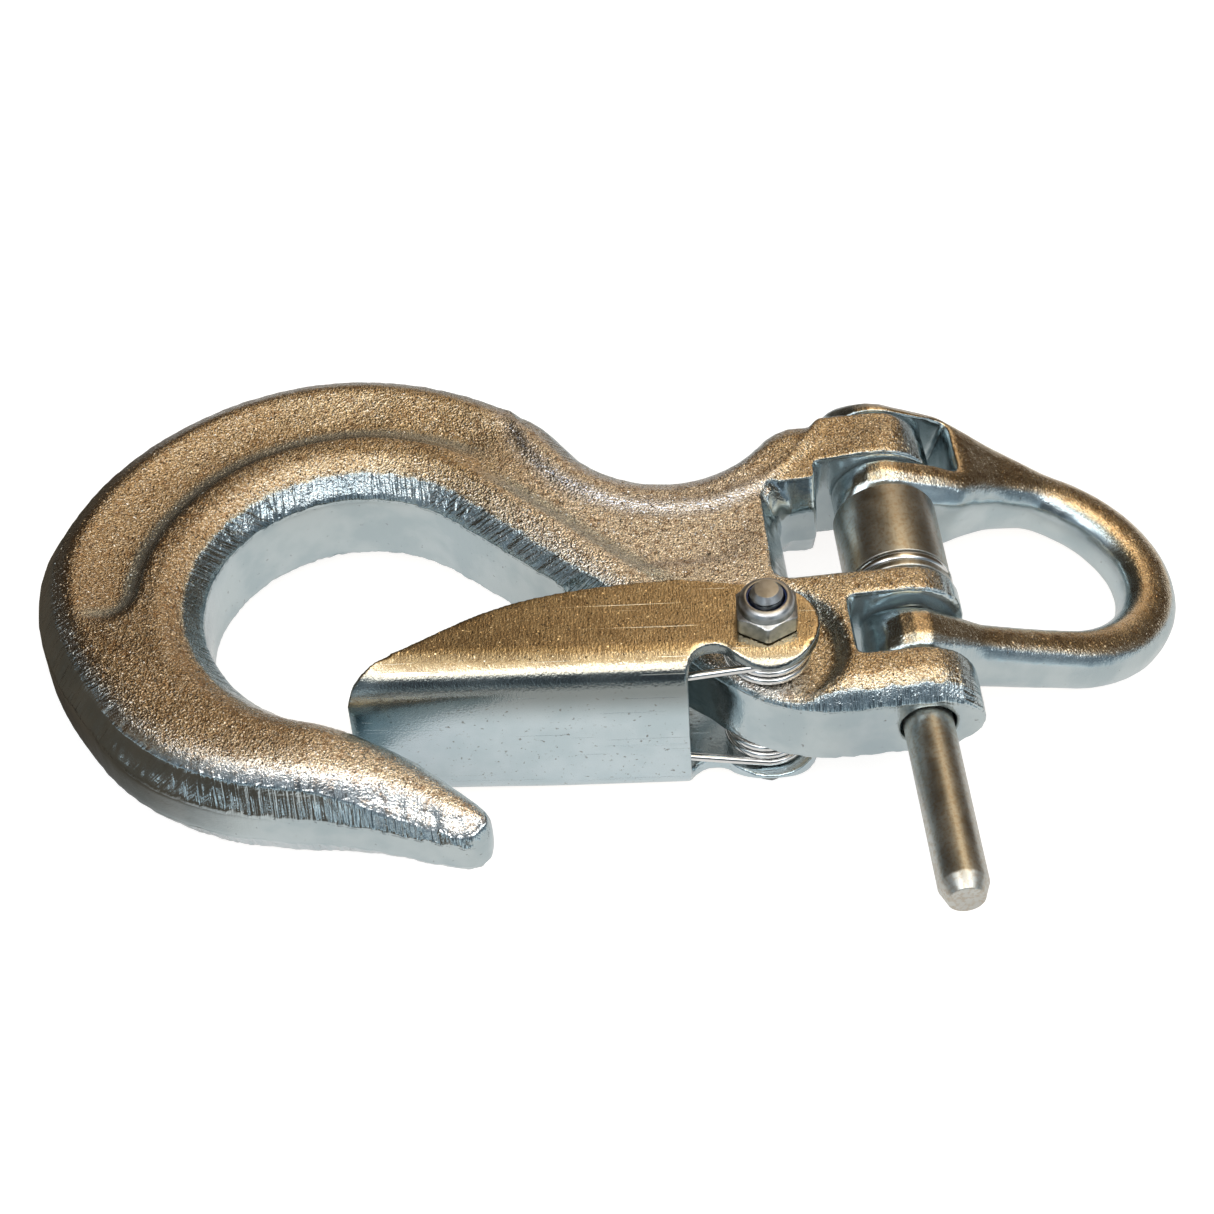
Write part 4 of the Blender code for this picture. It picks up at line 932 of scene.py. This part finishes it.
class Finish(Nodes):
    """Nodes of a material, in the frame of the piece that wears it."""

    def __init__(self, name):
        self.material = bpy.data.materials.new(name)
        self.material.use_nodes = True
        super().__init__(self.material.node_tree)
        self.surface = self.tree.nodes["Principled BSDF"].inputs
        self.place = self.split(self.coords["Object"])
        self.facing = self.split(self.coords["Normal"])

    def facing_out(self):
        """How squarely a surface faces away from the frame's middle plane, along its Z axis."""
        return self.product(self.math("SIGN", self.place["Z"]), self.facing["Z"])

    def from_point(self, point):
        """Distances in millimetres along X and Y from a point of the plan."""
        x = self.math("SUBTRACT", self.math("DIVIDE", self.place["X"], MM), point[0])
        y = self.math("SUBTRACT", self.math("DIVIDE", self.place["Y"], MM), point[1])
        return x, y

    def noise(self, size, detail=2.0, roughness=0.5, stretch=None):
        """Noise of a grain size in millimetres; stretch scales its coordinates along the axes."""
        vector = self.coords["Object"]
        if stretch:
            scaled = self.add("ShaderNodeMapping")
            self.put(vector, scaled.inputs["Vector"])
            self.put(stretch, scaled.inputs["Scale"])
            vector = scaled.outputs["Vector"]
        node = self.add("ShaderNodeTexNoise")
        self.put(vector, node.inputs["Vector"])
        self.put(1.0 / (size * MM), node.inputs["Scale"])
        self.put(detail, node.inputs["Detail"])
        self.put(roughness, node.inputs["Roughness"])
        return node.outputs["Fac"]

    def bump(self, height, depth, normal=None):
        """Bumped normal from a height between 0 and 1, with its depth in millimetres."""
        node = self.add("ShaderNodeBump")
        self.put(height, node.inputs["Height"])
        self.put(depth * MM, node.inputs["Distance"])
        if normal:
            self.put(normal, node.inputs["Normal"])
        return node.outputs["Normal"]

    def vector(self, operation, a, b=(0.0, 0.0, 0.0), scale=None):
        """Arithmetic on one or two vectors, or on a vector and a scale."""
        node = self.add("ShaderNodeVectorMath", operation=operation)
        self.put(a, node.inputs[0])
        self.put(b, node.inputs[1])
        if scale is not None:
            self.put(scale, node.inputs["Scale"])
        return node.outputs["Vector"]

    def glitter(self, size, share, tilt, normal):
        """Normal with a share of its grains, of a size in millimetres, turned at random."""
        cells = self.add("ShaderNodeTexVoronoi")
        self.put(self.coords["Object"], cells.inputs["Vector"])
        self.put(1.0 / (size * MM), cells.inputs["Scale"])
        chance = self.add("ShaderNodeTexWhiteNoise")
        self.put(cells.outputs["Position"], chance.inputs["Vector"])
        chosen = self.ramp(chance.outputs["Value"], *around(1.0 - share, GLITTER_EDGE))
        turned = self.vector("SUBTRACT", cells.outputs["Color"], (0.5, 0.5, 0.5))
        turned = self.vector("SCALE", turned, scale=self.product(chosen, tilt))
        return self.vector("NORMALIZE", self.vector("ADD", normal, turned))

    def done(self, colour, roughness, metallic, normal=None):
        """Set the surface and return the material."""
        self.put(colour, self.surface["Base Color"])
        self.put(roughness, self.surface["Roughness"])
        self.put(metallic, self.surface["Metallic"])
        if normal:
            self.put(normal, self.surface["Normal"])
        return self.material


def die_mark_shade(s):
    """Share of the grey line of painted shade along the die mark's wall, round the bowl and straight along
    the neck.

    The turn round the bowl is its bearing less a quarter turn.
    """
    x, y = s.from_point(BOWL_CENTRE)
    reach = s.length(x, y)
    turn = s.math("ARCTAN2", s.product(x, -1.0), y)
    left = s.product(s.math("SUBTRACT", math.radians(CREASE_END - 90.0), turn), reach)
    across = s.math("MAXIMUM", s.math("SUBTRACT", CREASE_CORNER + CREASE + BOWL_INNER, reach), 0.0)
    along = s.math("MAXIMUM", s.math("SUBTRACT", CREASE_CORNER, left), 0.0)
    inside = s.math("SUBTRACT", CREASE_CORNER, s.length(across, along))
    curved = s.band(inside, MARK_LINE_IN, MARK_LINE_OUT)
    curved = s.product(curved, s.ramp(reach, *around(BOWL_INNER + CREASE, MARK_LINE_REACH)))
    curved = s.product(curved, s.ramp(turn, *MARK_LINE_START))
    x, y = s.from_point(SHANK_END)
    side = s.along(x, y, SHANK_SIDE)
    way = s.along(x, y, SHANK_WAY)
    straight = s.band(side, around(NECK_MARK, NECK_LINE_IN), around(NECK_MARK, NECK_LINE_OUT))
    straight = s.product(straight, s.band(way, NECK_LINE_START, NECK_LINE_STOP))
    return s.math("MAXIMUM", curved, straight)


def painted_neck_sheen(s):
    """Share of the painted sheen, a silver highlight painted along the hollow's bevel where its step turns
    towards the camera.
    """
    reach = s.length(*s.from_point(HOLLOW_CENTRE))
    return s.band(reach, around(HOLLOW_EDGE, SHEEN_IN), around(HOLLOW_EDGE, SHEEN_OUT))


def forged_zinc(name, coarse, roughness):
    """Bright zinc over a shot-blasted forging.

    Its faces are a glittering brown, partly a yellow passivate and partly a painted warm reflection, its neck
    and tip are silver and its trimmed walls are bluish.
    """
    s = Finish(name)
    x = s.place["X"]
    y = s.place["Y"]
    out = s.facing_out()
    near = s.product(s.ramp(y, *NEAR_Y), s.ramp(x, *NEAR_X))
    face = s.math("MAXIMUM", s.ramp(out, *FACE_OUT), s.product(near, s.ramp(out, *NEAR_FACE_OUT)))
    slope = s.product(s.ramp(out, *SLOPE_OUT), s.rest(face))
    neck = s.band(x, NECK_X_START, NECK_X_STOP)
    tip = s.product(s.ramp(y, *TIP_Y), s.ramp(x, *TIP_X))
    left_shade = s.product(s.ramp(x, *LEFT_SHADE_X), s.ramp(y, *LEFT_SHADE_Y, start=0.5))
    head = s.ramp(s.math("ABSOLUTE", y), *HEAD_Y)
    window = s.product(s.ramp(x, *WINDOW_X), head)
    slot = s.product(s.band(x, SLOT_X_START, SLOT_X_STOP), head)
    sheen = s.product(painted_neck_sheen(s), neck)
    mark = die_mark_shade(s)

    patch = s.ramp(s.noise(9.0, detail=3.0), *NOISE_MIDDLE)
    golden = s.mix(patch, *FORGED_BROWNS)
    # Painted shade: the left of the bowl turns a darker brown, with pale flecks in it
    golden = s.mix(s.product(left_shade, LEFT_SHADE_SHARE), golden, LEFT_SHADE_BROWN)
    frost = s.ramp(s.noise(0.8, detail=3.0, roughness=0.65), 0.54, 0.64, end=0.55)
    golden = s.mix(s.product(frost, left_shade), golden, FROST_WHITE)
    golden = s.mix(s.math("MAXIMUM", neck, tip), golden, NECK_SILVER)
    # Painted highlight: a silver sheen along the bevel of the neck's hollow
    golden = s.mix(s.product(sheen, SHEEN_SHARE), golden, PAINTED_SHEEN_SILVER)
    bluish = s.mix(patch, *WALL_BLUES)
    bluish = s.mix(s.product(tip, s.ramp(out, *TIP_FACE_OUT)), bluish, TIP_GREY)
    # Faces take the browns, partly a painted warm reflection, and the trimmed walls take the bluish tones
    colour = s.mix(face, bluish, golden)
    # Painted shade: grey along the die mark's crease wall, which is also a little duller
    colour = s.mix(s.product(mark, MARK_SHARE), colour, MARK_SHADE_GREY)

    grain = s.noise(0.42, roughness=0.6)
    blasted = s.product(s.ramp(out, *BLASTED_OUT), coarse)
    white = s.product(s.ramp(grain, 0.54, 0.66, end=0.8), blasted)
    colour = s.mix(white, colour, GRAIN_WHITE)
    dark = s.product(s.ramp(s.noise(0.5, roughness=0.6), 0.54, 0.68, end=0.75), blasted)
    colour = s.mix(dark, colour, GRAIN_BROWN)
    rust = s.product(s.ramp(s.noise(1.8, detail=4.0, roughness=0.65), 0.5, 0.66, end=0.6), face)
    colour = s.mix(s.product(rust, s.rest(s.math("MAXIMUM", sheen, mark))), colour, RUST_BROWN)
    spots = s.ramp(s.noise(1.1), 0.7, 0.76, end=0.6)
    colour = s.mix(spots, colour, SPOT_GREY)

    rolling = s.product(s.ramp(out, *BLASTED_OUT, start=0.12), coarse)
    normal = s.bump(s.product(s.noise(0.85), rolling), depth=0.11)
    normal = s.bump(s.product(grain, rolling), depth=0.22, normal=normal)
    sideways = s.ramp(s.math("ABSOLUTE", s.facing["X"]), *SIDEWAYS)
    across_x = s.noise(0.7, stretch=(1.0, 0.1, 0.05))
    across_y = s.noise(0.7, stretch=(0.1, 1.0, 0.05))
    torn = s.math("ADD", s.product(slope, 1.0 - FLAT_TEAR), FLAT_TEAR)
    torn = s.product(torn, coarse, s.rest(s.product(window, WINDOW_CALM)))
    normal = s.bump(s.product(s.blend(sideways, across_x, across_y), torn), depth=0.45, normal=normal)
    normal = s.glitter(size=0.3, share=0.16, tilt=s.product(blasted, 0.95), normal=normal)

    rough = s.ramp(s.noise(3.0), *NOISE_SPAN, *roughness)
    dull = s.product(slot, s.ramp(out, *SLOT_WALL_OUT), SLOT_DULLNESS)
    metallic = s.rest(s.math("MAXIMUM", dull, s.product(mark, MARK_DULLNESS)))
    return s.done(colour, rough, metallic, normal)


def sheet_zinc():
    """Rolled sheet with brown mottled faces, partly a painted warm reflection, scratched along, and a bluish
    web with dark specks and painted shade towards its upper fold.
    """
    s = Finish("sheet_zinc_skin")
    face = s.ramp(s.facing_out(), *SHEET_FACE_OUT)
    cloud = s.ramp(s.noise(7.0, detail=3.0), *NOISE_SPAN)
    brushed = s.noise(0.35, detail=3.0, roughness=0.6, stretch=(1.0, 0.15, 0.4))
    brushed = s.ramp(brushed, *NOISE_MIDDLE)
    golden = s.mix(brushed, *SHEET_BROWNS)
    mottle = s.ramp(s.noise(2.6, detail=5.0, roughness=0.7), 0.4, 0.6, end=0.7)
    golden = s.mix(mottle, golden, MOTTLE_BROWN)
    fleck = s.ramp(s.noise(0.4, roughness=0.6), 0.58, 0.7)
    golden = s.mix(fleck, golden, FLECK_WHITE)
    bluish = s.mix(cloud, *SHEET_BLUES)
    # Painted shade: the web turns grey towards its upper fold
    bluish = s.mix(s.ramp(s.place["Z"], *FOLD_SHADE_Z, end=0.85), bluish, FOLD_SHADE_GREY)
    # Faces take the browns, partly a painted warm reflection, and the web takes the bluish tones
    colour = s.mix(face, bluish, golden)
    scored = s.ramp(s.noise(0.5, detail=1.0, stretch=(0.012, 1.0, 1.0)), 0.69, 0.73)
    colour = s.mix(s.product(scored, face), colour, SCORE_WHITE)
    speck = s.ramp(s.noise(0.9, detail=3.0, roughness=0.6), 0.63, 0.7, end=0.75)
    colour = s.mix(speck, colour, SPECK_GREY)
    normal = s.bump(brushed, depth=0.007)
    normal = s.bump(s.noise(0.5, detail=3.0), depth=0.05, normal=normal)
    normal = s.bump(scored, depth=0.03, normal=normal)
    normal = s.glitter(size=0.28, share=0.05, tilt=s.product(face, 0.5), normal=normal)
    return s.done(colour, s.ramp(cloud, 0.0, 1.0, *SHEET_ROUGHNESS), metallic=1.0, normal=normal)


def turned_zinc():
    """Turned and plated steel, satin with lines along it and brown stains."""
    s = Finish("turned_zinc_skin")
    cloud = s.noise(5.0, detail=3.0)
    colour = s.mix(s.ramp(cloud, *NOISE_SPAN), *TURNED_GREYS)
    stain = s.ramp(s.noise(0.8, detail=4.0, roughness=0.65), 0.45, 0.62, end=0.55)
    colour = s.mix(stain, colour, STAIN_BROWN)
    normal = s.bump(s.noise(0.5), depth=0.015)
    normal = s.bump(s.noise(0.35, stretch=(1.0, 0.06, 1.0)), depth=0.015, normal=normal)
    return s.done(colour, s.ramp(cloud, *NOISE_SPAN, *TURNED_ROUGHNESS), metallic=1.0, normal=normal)


def polished_wire():
    """Drawn bright wire, faintly uneven."""
    s = Finish("polished_wire_skin")
    cloud = s.noise(2.0)
    colour = s.mix(cloud, *WIRE_GREYS)
    normal = s.bump(s.noise(0.3), depth=0.006)
    return s.done(colour, s.ramp(cloud, *NOISE_SPAN, *WIRE_ROUGHNESS), metallic=1.0, normal=normal)


def dull_steel():
    """Grey plated fastener steel, with painted shade that makes its sides darker than its tops."""
    s = Finish("dull_steel_skin")
    cloud = s.noise(1.6, detail=3.0)
    patch = s.ramp(cloud, *NOISE_SPAN)
    top = s.ramp(s.facing_out(), *LIT_STEEL_TOP_OUT)
    # Painted shade: the sides take darker greys than the tops
    colour = s.mix(top, s.mix(patch, *SHADED_STEEL_SIDES), s.mix(patch, *LIT_STEEL_TOPS))
    normal = s.bump(s.noise(0.35, detail=3.0), depth=0.02)
    return s.done(colour, s.ramp(cloud, *NOISE_SPAN, *STEEL_ROUGHNESS), metallic=1.0, normal=normal)


def blue_nylon():
    """Dark blue nylon, faintly mottled."""
    s = Finish("blue_nylon_skin")
    colour = s.mix(s.noise(0.8), *NYLON_BLUES)
    return s.done(colour, roughness=0.4, metallic=0.0, normal=s.bump(s.noise(0.3), depth=0.02))


def set_camera():
    """Camera at the photograph's place, for a square frame."""
    data = bpy.data.cameras.new("camera")
    data.sensor_width = SENSOR
    data.lens = FOCAL_PIXELS * SENSOR / IMAGE_SIZE
    camera = new_object("camera", data)
    back = Vector(CAMERA_BACK).normalized()
    right = Vector(CAMERA_RIGHT).normalized()
    up = back.cross(right).normalized()
    right = up.cross(back)
    turn = Matrix((right, up, back)).transposed().to_4x4()
    camera.matrix_world = HOOK @ Matrix.Translation(Vector(CAMERA_PLACE) * MM) @ turn
    bpy.context.scene.camera = camera


def sky_colour(w, height, stops):
    """Colour of the surroundings by height, from the horizon at 0 to overhead at 1."""
    node = w.add("ShaderNodeValToRGB")
    w.put(height, node.inputs["Fac"])
    elements = node.color_ramp.elements
    elements.remove(elements[0])
    for place, colour in stops[:-1]:
        elements.new(place).color = (*colour, 1.0)
    elements[-1].position = stops[-1][0]
    elements[-1].color = (*stops[-1][1], 1.0)
    return node.outputs["Color"]


def side_gain(w, across, stops):
    """Gain of the surroundings from left to right, from the stops' places between -1 and 1."""
    node = w.add("ShaderNodeFloatCurve")
    w.put(w.ramp(across, -1.0, 1.0, kind="LINEAR"), node.inputs["Value"])
    largest = max(gain for _, gain in stops)
    curve = node.mapping.curves[0]
    curve.points[0].location = (0.0, stops[0][1] / largest)
    curve.points[1].location = (1.0, stops[-1][1] / largest)
    for side, gain in stops:
        curve.points.new((side + 1.0) / 2.0, gain / largest)
    node.mapping.update()
    return w.product(node.outputs["Value"], largest)


def set_world():
    """Studio surroundings: brown beyond the hook, dark under a pale band behind the camera, warm overhead."""
    world = bpy.data.worlds.new("studio")
    world.use_nodes = True
    w = Nodes(world.node_tree)
    way = w.split(w.coords["Generated"])
    beyond = w.ramp(way["Y"], *BEYOND_Y)
    colour = w.mix(beyond, sky_colour(w, way["Z"], SKY_BEHIND), sky_colour(w, way["Z"], SKY_BEYOND))
    gain = w.blend(beyond, side_gain(w, way["X"], GAIN_BEHIND), side_gain(w, way["X"], GAIN_BEYOND))
    background = w.tree.nodes["Background"].inputs
    w.put(colour, background["Color"])
    w.put(gain, background["Strength"])
    bpy.context.scene.world = world


def set_lamp():
    """Soft lamp above the camera's side, aimed at the part."""
    data = bpy.data.lights.new("key_lamp", "AREA")
    data.shape = "RECTANGLE"
    data.size, data.size_y = LAMP_SIZE
    data.energy = LAMP_POWER
    lamp = new_object("key_lamp", data)
    aim = -Vector(LAMP_PLACE)
    lamp.matrix_world = Matrix.Translation(LAMP_PLACE) @ aim.to_track_quat("-Z", "Y").to_matrix().to_4x4()


def make_floor():
    """Wide floor, white to the camera and pale in near reflections, that keeps the shadow."""
    corners = [(-1.0, -1.0, 0.0), (1.0, -1.0, 0.0), (1.0, 1.0, 0.0), (-1.0, 1.0, 0.0)]
    mesh = bpy.data.meshes.new("floor")
    mesh.from_pydata([Vector(corner) * FLOOR_HALF for corner in corners], [], [(0, 1, 2, 3)])
    floor = new_object("floor", mesh)
    s = Finish("floor_paper")
    path = s.add("ShaderNodeLightPath").outputs
    seen = s.math("ADD", path["Is Camera Ray"], path["Is Transmission Ray"], clamp=True)
    mirrored = path["Is Glossy Ray"]
    beyond = s.math("MAXIMUM", s.ramp(s.place["Y"], *FLOOR_FAR_Y), s.ramp(s.place["X"], *FLOOR_FAR_X))
    far = s.product(mirrored, beyond)
    near = s.math("SUBTRACT", mirrored, far)
    glow = s.math("ADD", s.product(seen, SEEN_GLOW), s.product(near, MIRRORED_GLOW))
    s.put((1.0, 1.0, 1.0), s.surface["Emission Color"])
    s.put(glow, s.surface["Emission Strength"])
    paper = s.done(s.mix(far, FLOOR_GREY, FLOOR_BROWN), roughness=0.9, metallic=0.0)
    mesh.materials.append(paper)


def main():
    """Dress the frame and light it."""
    set_camera()
    set_world()
    make_floor()
    set_lamp()
    make_hook(forged_zinc("forged_zinc_skin", coarse=1.0, roughness=HOOK_ROUGHNESS))
    make_link(forged_zinc("link_zinc_skin", coarse=0.4, roughness=LINK_ROUGHNESS))
    make_latch(sheet_zinc())
    turned = turned_zinc()
    wire = polished_wire()
    steel = dull_steel()
    make_pin(turned)
    make_bush(turned)
    make_ring(wire)
    make_bolt(steel)
    make_nut(steel)
    make_insert(blue_nylon())
    make_spring(wire)
    bpy.context.scene.view_settings.view_transform = "Standard"


main()
